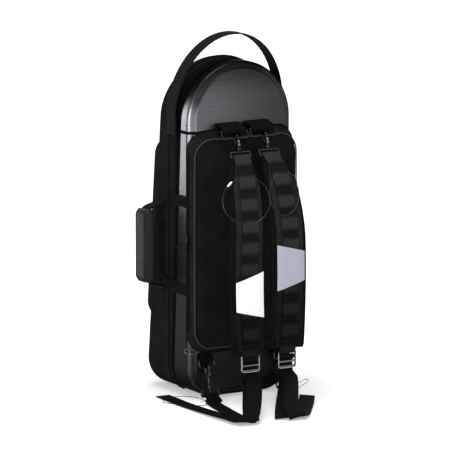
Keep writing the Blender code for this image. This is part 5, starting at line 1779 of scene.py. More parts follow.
@dataclass
class Tab:
    """A folded webbing tab and the wire ring in its fold."""

    name: str
    x: float
    z: float
    reach: float
    dip: float
    width: float
    lean: float
    face_y: float
    fold: float = 0.0042
    thickness: float = 0.0018
    gap: float = 0.0003
    wire: float = 0.0016
    clearance: float = 0.0010
    drop: float = 0.0125
    stitch: Triple = (0.0021, 0.0006, 0.0005)

    def build(self) -> None:
        """Make the tab, its stitches and its ring."""
        seat = self.face_y - self.gap - self.thickness / 2
        place = Vector((self.x, seat - self.reach, self.z - self.dip))
        nose = [place + Vector((0, u, v)) for u, v in arc((0, 0), self.fold, QUARTER, 3 * QUARTER, 10)]
        first, last = Vector((self.x, seat, self.z + self.fold)), Vector((self.x, seat, self.z - self.fold))
        upper = [first.lerp(nose[0], i / 6) for i in range(6)]
        lower = [nose[-1].lerp(last, i / 6) for i in range(1, 7)]
        tab = Skin().band([*upper, *nose, *lower], RIGHTWARD, self.width, self.thickness)
        tab.make(f"{self.name}_tab_webbing", DARK_WEBBING, BACK, [f"{self.name}_tab"])
        skin = Skin()
        up = Vector((0, -0.15, 1)).normalized()
        for share in (0.3, 0.55):
            centre = first.lerp(nose[0], share) + up * self.thickness * 0.5
            line = [centre + RIGHTWARD * u * self.width * 0.42 for u in (-1, 0, 1)]
            skin.bricks(line, up, 0.0028, self.stitch)
        skin.make(f"{self.name}_tab_stitches", THREAD, BACK)
        slack = self.fold - self.thickness / 2 - self.wire - 0.0006
        top = place - LIDWARD * slack
        low = Vector((self.x, top.y - self.lean, top.z - self.drop))
        down = low - top
        width = self.width + 2 * (self.clearance + self.wire)
        outline = rounded_rectangle(width, down.length, self.wire * 1.6, 5)
        ring = [(top + low) / 2 + RIGHTWARD * u - down.normalized() * v for u, v in outline]
        wire = Skin().tube(ring, self.wire, 12, True)
        wire.make(f"{self.name}_ring_wire", GUNMETAL, BACK, [f"{self.name}_ring"])


@dataclass
class SnapHook:
    """A swivel snap hook: the bent wire, its barrel, its eye and its sprung gate."""

    name: str
    bar: Vector
    lean: float
    neck: float
    web_width: float
    hook_body: str
    gate_body: str
    wire: float = 0.0022
    ring_wire: float = 0.0016
    gap: float = 0.0003
    bend: float = 0.0062
    stem: float = 0.0100
    taper: float = 0.0050
    tip: float = 0.0030
    barrel: float = 0.0042
    barrel_length: float = 0.0065
    swivel: float = 0.0030
    eye_height: float = 0.0060
    eye_wire: float = 0.0019
    eye_corner: float = 0.0032
    gate: Flat = (0.0036, 0.0014)
    pin_radius: float = 0.0008
    pin: tuple[float, ...] = (-0.0024, -0.0012, 0.0012, 0.0024)
    stud: tuple[Flat, ...] = (
        (0.0, 0.0009), (0.0011, 0.0009), (0.0014, 0.0013), (0.0019, 0.0012), (0.0021, 0.0006),
    )

    @property
    def out(self) -> Vector:
        """The direction away from the case."""
        return Vector((0, -math.cos(self.lean), math.sin(self.lean)))

    @property
    def down(self) -> Vector:
        """The direction along the hook."""
        return Vector((0, -math.sin(self.lean), -math.cos(self.lean)))

    def at(self, out: float, down: float, x: float = 0.0) -> Vector:
        """A point by its distances from the middle of the hook's bend.

        Args:
            out: The distance away from the case.
            down: The distance along the hook.
            x: The distance to the right.

        Returns:
            The point in the case's frame.
        """
        crown = self.wire + self.gap + self.ring_wire - self.bend
        return self.bar - self.down * crown + self.out * out + self.down * down + RIGHTWARD * x

    def stem_end(self) -> float:
        """Where the wire meets the barrel."""
        return self.stem + self.taper + self.neck

    def eye_top(self) -> float:
        """Where the eye starts."""
        return self.stem_end() + self.barrel_length + self.swivel + self.eye_wire / 2

    def eye_bar(self) -> Vector:
        """The middle of the eye's far bar."""
        return self.at(0, self.eye_top() + self.eye_height + self.eye_wire)

    def barrel_profile(self) -> list[Flat]:
        """The barrel with its groove and the swivel's neck, as distances and radii."""
        ring, start, end = self.barrel, self.stem_end(), self.stem_end() + self.barrel_length
        near = ((-0.5, 0.55), (-0.3, 0.8), (0.0, 1.0), (0.2, 1.0), (0.28, 0.86), (0.42, 0.86), (0.5, 1.0))
        far = ((-0.3, 1.0), (-0.08, 0.92), (0.0, 0.75))
        ends = ((end + 0.0003, ring * 0.5), (end + self.swivel + self.eye_wire, ring * 0.5))
        shares = [(start, *share) for share in near] + [(end, *share) for share in far]
        return [*((place + ring * u, ring * v) for place, u, v in shares), *ends]

    def build(self) -> None:
        """Make the hook and the gate."""
        points = [self.at(self.bend, self.tip)]
        points += [self.at(u, -v) for u, v in arc((0, 0), self.bend, 0, math.pi, 8)]
        points += [
            self.at(-self.bend, self.stem * 0.6), self.at(-self.bend * 0.8, self.stem),
            self.at(0, self.stem + self.taper), self.at(0, self.stem_end() + self.barrel_length / 2),
        ]
        path = smooth_path(points, 4)
        radii = [self.wire * (0.82 + 0.18 * min(1.0, i / 8)) for i in range(len(path))]
        skin = Skin().tube(path, radii, 14).turned(self.at(0, 0), self.down, self.barrel_profile())
        width = self.web_width + 0.0040 + 2 * self.eye_wire
        height = self.eye_height + 2 * self.eye_wire
        middle = self.eye_top() - self.eye_wire + height / 2
        eye = [self.at(0, middle + v, u) for u, v in rounded_rectangle(width, height, self.eye_corner, 6)]
        skin.tube(eye, self.eye_wire, 12, True)
        skin.make(f"{self.name}_hook_metal", GUNMETAL, Carrier(self.hook_body), [f"{self.name}_hook"])
        self.build_gate()

    def build_gate(self) -> None:
        """The flat sprung gate with its hinge pin and thumb stud."""
        low = self.at(self.wire + self.gate[1], self.stem + self.taper * 0.6)
        high = self.at(self.bend, self.tip + self.wire * 0.4 + self.gap)
        skin = Skin().band([low.lerp(high, i / 8) for i in range(9)], RIGHTWARD, *self.gate)
        skin.tube([low + RIGHTWARD * x for x in self.pin], self.pin_radius, 10)
        face = (high - low).normalized().cross(RIGHTWARD).normalized()
        face = face if face.dot(self.out) > 0 else -face
        skin.turned(low.lerp(high, 0.45), face, self.stud, 14)
        skin.make(f"{self.name}_gate_metal", BRIGHT_METAL, Carrier(self.gate_body), [f"{self.name}_gate"])


@dataclass
class ShoulderPad:
    """A shoulder pad with its edge binding, tapes, tacked webbing and reflective patch."""

    side: Side
    patch_z: float
    film: Finish
    hook: SnapHook
    face_y: float
    thickness: float = 0.013
    neck: float = 0.044
    shoulder: float = 0.064
    wide: float = 0.070
    top: float = 0.415
    base: float = 0.094
    top_x: float = 0.031
    mid_x: float = 0.038
    base_x: float = 0.0365
    top_out: float = 0.052
    mid_out: float = 0.088
    rings: int = 96
    half_section: tuple[Flat, ...] = (
        (0.0, 1.0), (0.3, 1.0), (0.5, 0.99), (0.64, 0.94), (0.76, 0.84), (0.86, 0.68), (0.94, 0.48),
        (0.985, 0.3),
    )
    binding_radius: float = 0.0019
    tape_half: Flat = (0.0165, 0.0255)
    tape_rise: float = 0.0007
    tape_droop: float = 0.0004
    tape_stitch_lift: float = 0.0004
    tape_rows: Flat = (0.0020, 0.0062)
    edge_stitch: Triple = (0.0029, 0.0006, 0.0005)
    tape_stitch: Triple = (0.0028, 0.0005, 0.0005)
    web: float = 0.031
    web_thickness: float = 0.0016
    web_lift: float = 0.0010
    swell: float = 0.0022
    segments: int = 8
    tack: Triple = (0.0009, 0.0012, 0.0005)
    patch_half: float = 0.027
    patch_lengths: Flat = (0.050, 0.081)
    patch_lift: float = 0.0050
    patch_edge: Flat = (0.0004, 0.0008)
    lock_thickness: float = 0.0032

    @property
    def carrier(self) -> Carrier:
        """The strap's own body."""
        return Carrier(f"{self.side.word}_shoulder_strap")

    def centre(self, z: float) -> Vector:
        """The middle of the pad at a height."""
        share = (self.top - z) / (self.top - self.base)
        bow = 1 - (1 - min(1.0, share * 2.4)) ** 2
        out = self.top_out + (self.mid_out - self.top_out) * bow
        lean = math.sin(math.pi * min(1.0, share)) ** 0.8 if share > 0 else 0.0
        x = self.top_x + (self.base_x - self.top_x) * share + (self.mid_x - self.top_x) * lean
        return Vector((self.side.value * x, self.face_y - out, z))

    def width(self, z: float) -> float:
        """The pad's width at a height."""
        down = self.top - z
        if down < self.neck:
            ease = math.sin(QUARTER * max(0.0, down) / self.neck)
            return self.neck + (self.shoulder - self.neck) * (0.35 * ease + 0.65 * max(0.0, down) / self.neck)
        return self.shoulder + (self.wide - self.shoulder) * min(1.0, (down - self.neck) / (2 * self.neck))

    def axes(self, z: float) -> tuple[Vector, Vector, Vector]:
        """The pad's own directions.

        Args:
            z: The height along the pad.

        Returns:
            Its middle there, the direction across it and the direction away from the case.
        """
        step = self.thickness
        way = (self.centre(z + step) - self.centre(z - step)).normalized()
        across = (RIGHTWARD - way * RIGHTWARD.dot(way)).normalized()
        out = across.cross(way)
        return self.centre(z), across, -out if out.y > 0 else out

    def on(self, z: float, u: float, lift: float) -> Vector:
        """A point over the pad's outer face.

        Args:
            z: The height along the pad.
            u: The distance across from its middle.
            lift: The distance above the flat of its face.

        Returns:
            The point in the case's frame.
        """
        centre, across, out = self.axes(z)
        return centre + across * u + out * (self.thickness / 2 + lift)

    def heights(self, steps: int, below_top: float = 0.0, above_base: float = 0.0) -> list[float]:
        """Even heights down the pad, from below its top to above its base."""
        high, low = self.top - below_top, self.base + above_base
        return [high + (low - high) * i / steps for i in range(steps + 1)]

    def build(self) -> None:
        """Make every piece of the strap above its ladder lock."""
        self.build_cushion()
        self.build_binding()
        self.build_tapes()
        self.build_webbing()
        self.build_patch()

    def piece(
        self, skin: Skin, name: str, finish: Finish, node: str = "", sharp: float = 40.0
    ) -> bpy.types.Object:
        """Make one of the strap's pieces.

        Args:
            skin: Its points and faces.
            name: Its name after the side's.
            finish: Its finish.
            node: The name, after the side's, of the solid that it is shown in place of.
            sharp: The angle in degrees from which an edge stays crisp.

        Returns:
            The piece.
        """
        word = self.side.word
        return skin.make(f"{word}_{name}", finish, self.carrier, [f"{word}_{node}"] if node else (), sharp)

    def build_cushion(self) -> None:
        """The padded body with its ends drawn in, flat in the middle and thin at its bound edges."""
        half = self.half_section
        upper = [*reversed(half), *[(-u, v) for u, v in half[1:]]]
        section = [*upper, *[(u, -v) for u, v in reversed(upper)]]
        rings = []
        for i, z in enumerate(self.heights(self.rings)):
            centre, across, out = self.axes(z)
            ends = min(i, self.rings - i) / 6
            deep = self.thickness / 2 * (0.45 + 0.55 * math.sin(QUARTER * min(1.0, ends)))
            ring = []
            for u, v in section:
                slack = noise.noise(Vector((u * 1.6, z * 38, self.side.value * 4.0))) * 0.0005 * (1 - u * u)
                ring.append(centre + across * u * self.width(z) / 2 + out * v * (deep - 0.0002 + slack))
            rings.append(ring)
        self.piece(Skin().rings(rings), "pad_cushion", MESH, "pad", 60.0)

    def build_binding(self) -> None:
        """The tape folded round the pad's edge, and the stitches beside it."""
        loop = []
        for sign, order in ((1, self.heights(60)), (-1, self.heights(60)[::-1])):
            for z in order:
                centre, across, _ = self.axes(z)
                loop.append(centre + across * sign * (self.width(z) / 2 - 0.0012))
        self.piece(Skin().tube(loop, self.binding_radius, loop=True), "pad_binding", BINDING)
        skin = Skin()
        for sign in (-1, 1):
            line, outs = [], []
            for z in self.heights(60, 0.004, 0.003):
                _, across, out = self.axes(z)
                line.append(self.on(z, sign * (self.width(z) / 2 - 0.0055), -0.0022))
                outs.append((out + across * sign * 0.6).normalized())
            skin.bricks(line, outs, 0.0042, self.edge_stitch)
        self.piece(skin, "pad_edge_stitches", THREAD)

    def tape_at(self, z: float) -> float:
        """Half the width of the wide tape under the webbing, which tapers into the neck."""
        narrow, wide = self.tape_half
        return narrow + (wide - narrow) * min(1.0, max(0.0, self.top - z - 0.012) / 0.030)

    def build_tapes(self) -> None:
        """The wide tape on the pad's face, with a stitched line near each edge."""
        shares = (-1, -0.6, -0.2, 0.2, 0.6, 1)
        rings = []
        for z in self.heights(80, 0.006, 0.002):
            half = self.tape_at(z)
            faces = ((-0.0001, shares), (self.tape_rise, shares[::-1]))
            rings.append([
                self.on(z, half * u, lift - self.tape_droop * abs(u) ** 3) for lift, row in faces for u in row
            ])
        self.piece(Skin().rings(rings), "pad_side_tape", STRIPE, sharp=30.0)
        skin = Skin()
        for sign in (-1, 1):
            for inner in self.tape_rows:
                heights = self.heights(60, 0.010, 0.004)
                line = [self.on(z, sign * (self.tape_at(z) - inner), self.tape_stitch_lift) for z in heights]
                skin.bricks(line, -LIDWARD, 0.0040, self.tape_stitch)
        self.piece(skin, "pad_tape_stitches", THREAD)

    def lock_bar(self) -> Vector:
        """The middle of the ladder lock's top bar."""
        foot = self.on(self.base, 0, 0)
        return Vector((foot.x, foot.y + self.thickness / 4, self.base - self.thickness / 2))

    def build_webbing(self) -> None:
        """The webbing down the pad, tacked in loops, from the hook's eye to the lock's bar."""
        seat = self.web_lift + self.web_thickness / 2
        wrap = self.hook.eye_wire + self.web_thickness
        eye, bar = self.hook.eye_bar(), self.lock_bar()
        out, down, half_turn = self.hook.out, self.hook.down, [*turns(6, math.pi), math.pi]
        points = [eye + (out * -math.cos(a) - down * math.sin(a)) * wrap for a in half_turn]
        start = self.top - self.neck / 4
        span = (start - self.base - self.thickness) / self.segments
        tacks = [start - span * i for i in range(self.segments + 1)]
        for z, after in zip(tacks, tacks[1:]):
            swell = self.swell * (0.55 if abs(z + (after - z) / 2 - self.patch_z) < 0.055 else 1.3)
            for share, lift in ((0.0, 0.0), (0.18, swell * 0.7), (0.5, swell), (0.82, swell * 0.7)):
                points.append(self.on(z + (after - z) * share, 0, seat + lift))
        points.append(self.on(tacks[-1], 0, seat))
        reach = self.lock_thickness / 2 + self.web_thickness
        points += [bar + (LIDWARD * -math.cos(a) - UPWARD * math.sin(a)) * reach for a in half_turn]
        web = Skin().band(smooth_path(points, 4), RIGHTWARD, self.web, self.web_thickness)
        self.piece(web, "pad_tacked_webbing", PAD_WEBBING, "pad_webbing")
        skin, half = Skin(), self.web * 0.46
        for z in tacks:
            for step in (-0.0011, 0.0, 0.0011):
                line = [self.on(z + step, u, seat + self.web_thickness / 2) for u in (-half, 0, half)]
                skin.bricks(line, -LIDWARD, 0.0013, self.tack)
        self.piece(skin, "pad_bar_tacks", THREAD)

    def build_patch(self) -> None:
        """The reflective patch across the pad, longer towards the other pad."""
        short, long = self.patch_lengths
        thin, thick = self.patch_edge
        rings = []
        for i in range(25):
            front, back = [], []
            for u in (-1 + 2 * k / 14 for k in range(15)):
                length = short + (long - short) * (1 - u * self.side.value) / 2
                z = self.patch_z + length * (i / 24 - 0.5)
                lift = self.patch_lift - 0.0022 * max(0.0, abs(u) - 0.5) ** 1.5 * 2.8
                rim = thin if i in (0, 24) or abs(u) == 1 else thick
                front.append(self.on(z, u * self.patch_half, lift + rim))
                back.append(self.on(z, u * self.patch_half, lift))
            rings.append([*front, *reversed(back)])
        self.piece(Skin().rings(rings), "reflective_patch", self.film, "reflector", 60.0)


@dataclass
class LadderLock:
    """The metal ladder lock at a strap's foot, with its bright rim."""

    side: Side
    bar: Vector
    width: float = 0.036
    height: float = 0.031
    thickness: float = 0.0032
    bar_drop: float = 0.0015
    bevel: float = 0.0005
    rim: float = 0.00085
    corner: float = 0.0040
    open_top: float = 0.0060
    hole: Flat = (0.0046, 0.0013)
    hole_up: float = 0.0029
    hole_rim: float = 0.0004

    def build(self) -> None:
        """Make the plate and the polished rim on it, which is open where the pad's webbing passes."""
        name, carrier = f"{self.side.word}_ladder_lock", Carrier(f"{self.side.word}_lock")
        bevelled(name, f"{name}_plate", self.bevel, BRIGHT_METAL, carrier)
        middle = self.bar + Vector((0, -self.thickness / 2, self.bar_drop - self.height / 2))
        edge = 2 * self.rim
        outline = rounded_rectangle(self.width - edge, self.height - edge, self.corner)
        quarter = len(outline) // 4
        half, top = (self.width - edge) / 2, self.height / 2 - self.open_top
        rim = [(-half, top), *outline[-quarter:], *outline[:quarter], (half, top)]
        skin = Skin().tube([middle + Vector((u, 0, v)) for u, v in rim], self.rim, 10)
        foot = middle + Vector((0, -0.0001, self.hole_up - self.height / 2))
        hole = [foot + Vector((self.hole[0] * math.cos(a), 0, self.hole[1] * math.sin(a))) for a in turns(24)]
        skin.tube(hole, self.hole_rim, loop=True)
        skin.make(f"{name}_rim", RIM_METAL, carrier)


@dataclass(frozen=True)
class StrapRoute:
    """Where one strap's loose webbing lies, as shares of the floor length and lifts in thicknesses."""

    run: tuple[Triple, ...]
    turn: tuple[Triple, ...]
    fall: tuple[Triple, ...]


LEFT_ROUTE = StrapRoute(
    run=((-0.33, -0.30, 0), (-0.38, -0.52, 0), (-0.42, -0.78, 0)),
    turn=((-0.425, -0.95, 0), (-0.425, -0.985, 2.6), (-0.41, -0.94, 6)),
    fall=(
        (-0.44, -1.00, 9), (-0.49, -1.04, 5.5), (-0.51, -1.01, 3), (-0.52, -0.85, 2.4), (-0.53, -0.55, 1),
        (-0.53, -0.25, 0), (-0.52, 0.06, 0),
    ),
)
RIGHT_ROUTE = StrapRoute(
    run=((0.20, -0.38, 0), (0.02, -0.68, 0), (-0.13, -0.90, 0)),
    turn=((-0.18, -0.975, 0), (-0.195, -1.00, 2.6), (-0.175, -0.965, 6)),
    fall=(
        (-0.12, -1.00, 9), (-0.125, -1.055, 5.5), (-0.10, -1.05, 2), (-0.02, -0.96, 0.6), (0.10, -0.80, 1),
        (0.20, -0.66, 3), (0.275, -0.55, 5),
    ),
)


@dataclass
class LooseWebbing:
    """The webbing from a lower hook over the floor, through the lock, to its free end."""

    side: Side
    hook: SnapHook
    bar: Vector
    route: StrapRoute
    width: float = 0.027
    thickness: float = 0.0015
    lift: float = 0.0010
    length: float = 0.250
    slot: float = 0.0058
    lock_bar: float = 0.0030
    lock_height: float = 0.031
    lock_thickness: float = 0.0032
    steps: int = 8
    ease: int = 7
    rise: Flat = (0.016, 0.040)
    tilt: Flat = (-0.0098, 0.0020)

    @property
    def lock_foot(self) -> float:
        """The height of the lock's foot."""
        return self.bar.z - self.lock_height

    def floor_points(self, shares: Sequence[Triple]) -> list[Vector]:
        """Points on or above the floor from their shares."""
        lowest = self.thickness / 2 + self.lift
        return [Vector((x * self.length, y * self.length, lowest + k * self.thickness)) for x, y, k in shares]

    def hook_wrap(self) -> list[Vector]:
        """Round the lower hook's eye and away from it."""
        wrap = self.hook.eye_wire + 0.0006 + self.thickness
        shares = ((1, -0.5), (0.6, 0.8), (-0.8, 0.6), (-1.8, -0.4), (-3.5, -0.8))
        return [self.hook.eye_bar() + Vector((0, wrap * a, wrap * b)) for a, b in shares]

    def threading(self) -> list[Vector]:
        """Up behind the lock, over its second bar, back through the next slot and down behind its foot."""
        pitch, low = self.slot + self.lock_bar, self.lock_foot - self.bar.z
        reach = self.lock_thickness / 2 + self.thickness + 0.0003
        far = reach + self.thickness + 0.0005
        over = [math.pi * share for share in (0.0, 0.25, 0.5, 0.75, 1.0, 1.25, 1.4)]
        under = [math.pi * share for share in (0.4, 0.25, 0.0)]
        route = [
            (far * 0.3, low - 0.0150), (far, low - 0.0060), (far, low + 0.0060), (far, 0.0010 - 2 * pitch),
            *((math.cos(a) * reach, math.sin(a) * reach - pitch) for a in over),
            *((math.cos(a) * reach, math.sin(a) * reach - 2 * pitch) for a in under),
            (reach, low + 0.0030), (reach * 0.7, low - 0.0030), (-reach, low - 0.0070),
            (-reach * 3.0, low - 0.0100),
        ]
        return [self.bar + Vector((0, y, z)) for y, z in route]

    def above(self, first: str, second: str, ends: Sequence[float]) -> Carrier:
        """A carrier between one body and another, with two heights at the lock."""
        low, high = ((self.bar.x, self.bar.y, z) for z in ends)
        return Carrier(first, second, low, high)

    def build(self) -> None:
        """Make the end in the hook, the riser, the part in the lock, and the tail."""
        word, steps = self.side.word, self.steps
        wrap, run, threading = self.hook_wrap(), self.floor_points(self.route.run), self.threading()
        turn, fall = self.floor_points(self.route.turn), self.floor_points(self.route.fall)
        path = smooth_path([*wrap, *run, *turn, *threading, *fall], steps)
        rings = band_rings(path, RIGHTWARD, self.width, self.thickness, self.lift, self.ease)
        split = (len(wrap) + 1) * steps
        first = (len(wrap) + len(run) + len(turn)) * steps
        last = first + (len(threading) - 1) * steps
        strap = f"{word}_shoulder_strap"
        hooked = Carrier("case_back", f"{word}_foot_hook", tuple(run[0]), tuple(wrap[-1]))
        rise = self.above("case_back", strap, self.rise)
        tilt = self.above(strap, f"{word}_lock", [self.lock_foot + step for step in self.tilt])
        for name, part, carrier in (
            ("hook_end", rings[: split + 1], hooked), ("riser_webbing", rings[split : first + 1], rise),
            ("tail_webbing", rings[last:], rise), ("lock_webbing", rings[first : last + 1], tilt),
        ):
            Skin().rings(part).make(f"{word}_strap_{name}", WEBBING, carrier, [f"{word}_strap_webbing"])


# Small hardware and trim


@dataclass
class ZipHardware:
    """The sliders and pulls of the three zips."""

    slider_bevel: float = 0.00035
    pull_bevel: float = 0.00025

    def build(self) -> None:
        """Soften the edges of each slider and pull."""
        for name in ("upper", "lower", "music", "front"):
            for part, width in (("slider", self.slider_bevel), ("pull", self.pull_bevel)):
                node, carrier = f"{name}_{part}", Carrier(f"{name}_zip_{part}")
                bevelled(node, f"{node}_metal", width, GUNMETAL, carrier)


@dataclass
class SmallTrim:
    """Thin loops and wire that the photograph shows and that carry no load."""

    pads: dict[Side, ShoulderPad]
    across_px: Triple = (231.93, 500.6, -295.9)
    down_px: tuple[float, ...] = (391.62, -52.3, -88.4, -572.1)
    cord: float = 0.0005
    cord_lift: float = 0.0072
    tucked_lift: float = 0.0030
    first_z: float = 0.36
    link_wire: float = 0.0009
    left_hoop: tuple[Flat, Flat] = ((246.2, 201.2), (23.5, 23.0))
    right_hoop: tuple[Flat, Flat] = ((283.8, 193.5), (14.5, 22.0))
    barrel_way: Triple = (0.80, 0.20, 0.58)
    barrel: tuple[Flat, ...] = (
        (-0.0065, 0.0006), (-0.0058, 0.0014), (-0.002, 0.0019), (0.002, 0.0019), (0.0058, 0.0014),
        (0.0065, 0.0006),
    )
    left_floor: tuple[Triple, ...] = (
        (-0.1530, -0.0270, 0.0010), (-0.1440, -0.0120, 0.0010), (-0.1270, -0.0080, 0.0030),
        (-0.1030, -0.0200, 0.0045), (-0.0920, -0.0560, 0.0045), (-0.1010, -0.0860, 0.0020),
        (-0.1180, -0.0820, 0.0010), (-0.1390, -0.0560, 0.0010),
    )
    right_floor: tuple[Triple, ...] = (
        (0.0880, -0.0480, 0.0020), (0.0980, -0.0500, 0.0075), (0.1100, -0.0540, 0.0150),
        (0.1180, -0.0580, 0.0180), (0.1170, -0.0620, 0.0160), (0.1060, -0.0620, 0.0090),
        (0.0940, -0.0580, 0.0030), (0.0860, -0.0520, 0.0012),
    )
    link: tuple[Triple, ...] = (
        (-0.1038, -0.0200, 0.0870), (-0.1000, -0.0270, 0.0872), (-0.0900, -0.0316, 0.0868),
        (-0.0860, -0.0330, 0.0830), (-0.0900, -0.0316, 0.0800), (-0.1000, -0.0270, 0.0796),
        (-0.1038, -0.0200, 0.0798), (-0.1042, -0.0170, 0.0835),
    )

    def loop(
        self, name: str, points: Sequence[Sequence[float]], radius: float, finish: Finish, carrier: Carrier
    ) -> None:
        """A thin loop through the given points.

        Args:
            name: The piece's name.
            points: Points round the loop, without a repeat of the first.
            radius: The radius of its wire.
            finish: Its finish.
            carrier: What it rides on.
        """
        path = smooth_path([*points, *points[:3]], 10)[10:-20]
        Skin().tube(path, radius, loop=True).make(name, finish, carrier)

    def hoop(self, pad: ShoulderPad, centre: Flat, half: Flat) -> list[Vector]:
        """Points round a hoop of cord that lies on a pad and passes behind its webbing at the top.

        Args:
            pad: The pad that carries it.
            centre: Its middle in the photograph.
            half: Half its width and height in the photograph.

        Returns:
            Sixteen points.
        """
        across_at, across_x, across_y = self.across_px
        down_at, down_x, down_y, down_z = self.down_px
        found = []
        for i, turn in enumerate(turns(16)):
            lift = self.cord_lift if i else self.tucked_lift
            across, down = centre[0] - half[0] * math.sin(turn), centre[1] - half[1] * math.cos(turn)
            z = self.first_z
            for _ in range(6):
                y = pad.on(z, 0, lift).y
                x = (across - across_at - across_y * y) / across_x
                z = (down - down_at - down_x * x - down_y * y) / down_z
            found.append(Vector((x, y, z)))
        return found

    def build(self) -> None:
        """Make the tag loops, the barrel and the wire link."""
        left, right = self.pads[Side.LEFT], self.pads[Side.RIGHT]
        hoop = self.hoop(left, *self.left_hoop)
        self.loop("left_tag_loop", hoop, self.cord, LOOP_NYLON, left.carrier)
        barrel = Skin().turned(hoop[2], Vector(self.barrel_way).normalized(), self.barrel, 14)
        barrel.make("left_tag_loop_barrel", LOOP_BARREL, left.carrier)
        self.loop("right_tag_loop", self.hoop(right, *self.right_hoop), self.cord, LOOP_NYLON, right.carrier)
        self.loop("left_floor_loop", self.left_floor, 0.0006, LOOP_NYLON, BACK)
        self.loop("right_floor_loop", self.right_floor, self.cord, LOOP_NYLON, BACK)
        self.loop("edge_wire_link", self.link, self.link_wire, BRIGHT_METAL, BACK)


# Studio


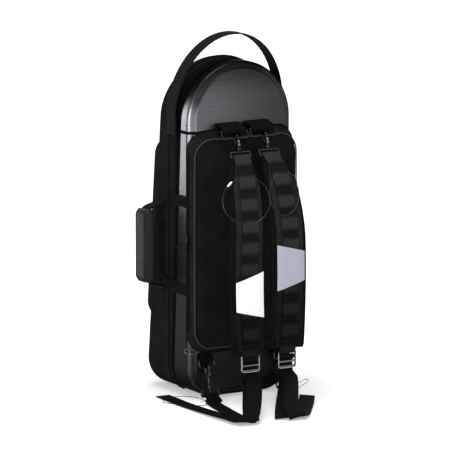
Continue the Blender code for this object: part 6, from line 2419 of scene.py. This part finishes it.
@dataclass
class Studio:
    """The camera at the photograph's angle, the pale floor and the soft light."""

    azimuth: float = -30.6
    elevation: float = 10.2
    lens: float = 400.0
    sensor: float = 36.0
    frame_width: float = 0.774
    across: float = -0.01192
    up: float = 0.2866
    depth: float = 0.068
    floor_half: float = 30.0
    glow_reach: Flat = (0.30, 1.10)
    glow: Flat = (0.30, 0.75)
    aim: Triple = (0, 0, 0.3)
    lamps: tuple[tuple[str, Triple, Flat, float], ...] = (
        ("left_soft_box", (-2.4, -1.4, 0.45), (0.55, 1.5), 44.0),
        ("left_rear_strip", (-1.5, 1.9, 0.45), (0.5, 1.5), 18.0),
        ("front_fill", (1.6, -2.4, 1.3), (1.6, 1.6), 10.0),
        ("top_box", (-0.2, 0.0, 2.6), (1.2, 1.2), 32.0),
    )

    def build(self) -> None:
        """Set the camera, the floor, the lamps and the world."""
        bpy.context.scene.view_settings.view_transform = "Standard"
        self.build_camera()
        self.build_floor()
        for lamp in self.lamps:
            self.build_lamp(*lamp)
        self.build_world()

    def build_camera(self) -> None:
        """A long lens from the photograph's direction."""
        a, e = math.radians(self.azimuth), math.radians(self.elevation)
        right = Vector((math.cos(a), math.sin(a), 0))
        back = Vector((math.sin(a) * math.cos(e), -math.cos(a) * math.cos(e), math.sin(e)))
        data = bpy.data.cameras.new("camera")
        data.lens, data.sensor_width, data.clip_end = self.lens, self.sensor, 100.0
        camera = linked("camera", data)
        target = right * self.across + back.cross(right) * self.up + back * self.depth
        camera.location = target + back * (self.frame_width * self.lens / self.sensor)
        camera.rotation_mode = "QUATERNION"
        camera.rotation_quaternion = (-back).to_track_quat("-Z", "Y")
        bpy.context.scene.camera = camera

    def build_floor(self) -> None:
        """A wide pale floor that shows white to the camera and keeps its shadows."""
        mesh, half = bpy.data.meshes.new("studio_floor"), self.floor_half
        corners = [(-half, -half, 0), (half, -half, 0), (half, half, 0), (-half, half, 0)]
        mesh.from_pydata(corners, [], [(0, 1, 2, 3)])
        paint = bpy.data.materials.new("pale_floor")
        paint.use_nodes = True
        sheet = NodeSheet(paint.node_tree)
        far = sheet.spread(sheet.reach(), *self.glow_reach, self.glow)
        sheet.fill(sheet.shader, {
            "Base Color": (0.93, 0.93, 0.93, 1.0),
            "Roughness": 0.9,
            "Specular IOR Level": 0.1,
            "Emission Color": (1, 1, 1, 1),
            "Emission Strength": sheet.product(sheet.seen(), far),
        })
        mesh.materials.append(paint)
        linked("studio_floor", mesh)

    def build_lamp(self, name: str, place: Triple, size: Flat, power: float) -> None:
        """One area lamp aimed at the case.

        Args:
            name: The lamp's name.
            place: Where it hangs.
            size: Its width and height.
            power: Its power.
        """
        data = bpy.data.lights.new(name, "AREA")
        data.shape, data.energy = "RECTANGLE", power
        data.size, data.size_y = size
        lamp = linked(name, data)
        lamp.location = place
        lamp.rotation_mode = "QUATERNION"
        lamp.rotation_quaternion = (Vector(self.aim) - Vector(place)).to_track_quat("-Z", "Y")

    def build_world(self) -> None:
        """White where it is seen or mirrored, and softer as a light."""
        world = bpy.data.worlds.new("studio_world")
        bpy.context.scene.world = world
        world.use_nodes = True
        sheet = NodeSheet(world.node_tree)
        level = sheet.add("MapRange", {"Value": sheet.seen(), "To Min": 0.5, "To Max": 1.0})
        sheet.fill(sheet.shader, {"Color": (1, 1, 1, 1), "Strength": level.outputs["Result"]})


# The whole case


def build_harness() -> dict[Side, ShoulderPad]:
    """Make both shoulder straps with their tabs, hooks, locks and loose webbing.

    Returns:
        The two pads, by side.
    """
    face_y, pads = -0.0315, {}
    for side, patch_z, film, route in (
        (Side.LEFT, 0.192, WHITE_FILM, LEFT_ROUTE), (Side.RIGHT, 0.235, GREY_FILM, RIGHT_ROUTE),
    ):
        word, top_x, foot_x = side.word, side.value * 0.0285, side.value * 0.075
        Tab(f"{word}_top", top_x, 0.472, 0.021, 0.006, 0.046, 0.006, face_y).build()
        Tab(f"{word}_foot", foot_x, 0.0735, 0.007, 0.004, 0.025, 0.003, face_y).build()
        upper = SnapHook(
            f"{word}_upper", Vector((top_x, -0.0608, 0.4535)), math.pi * 0.176, 0.0, 0.031,
            f"{word}_shoulder_strap", f"{word}_upper_hook_gate",
        )
        lower = SnapHook(
            f"{word}_lower", Vector((foot_x, -0.0438, 0.0570)), math.pi * 0.075, 0.0145, 0.027,
            f"{word}_foot_hook", f"{word}_foot_hook_gate",
        )
        upper.build()
        lower.build()
        pad = pads[side] = ShoulderPad(side, patch_z, film, upper, face_y)
        pad.build()
        LadderLock(side, pad.lock_bar()).build()
        LooseWebbing(side, lower, pad.lock_bar(), route).build()
    return pads


def main() -> None:
    """Build the studio and every sub-assembly in order."""
    logging.basicConfig(level=logging.INFO, format="%(name)s: %(message)s")
    shape = CaseShape()
    Studio().build()
    for assembly in (
        HardShell(shape), MainZip(shape), PaddedLid(shape), InsideFoam(shape), MusicPocket(shape),
        FrontPocket(shape), TopHandle(shape), SideHandle(shape), ZipHardware(),
    ):
        LOG.info("building %s", type(assembly).__name__)
        assembly.build()
    SmallTrim(build_harness()).build()


if __name__ == "__main__":
    main()
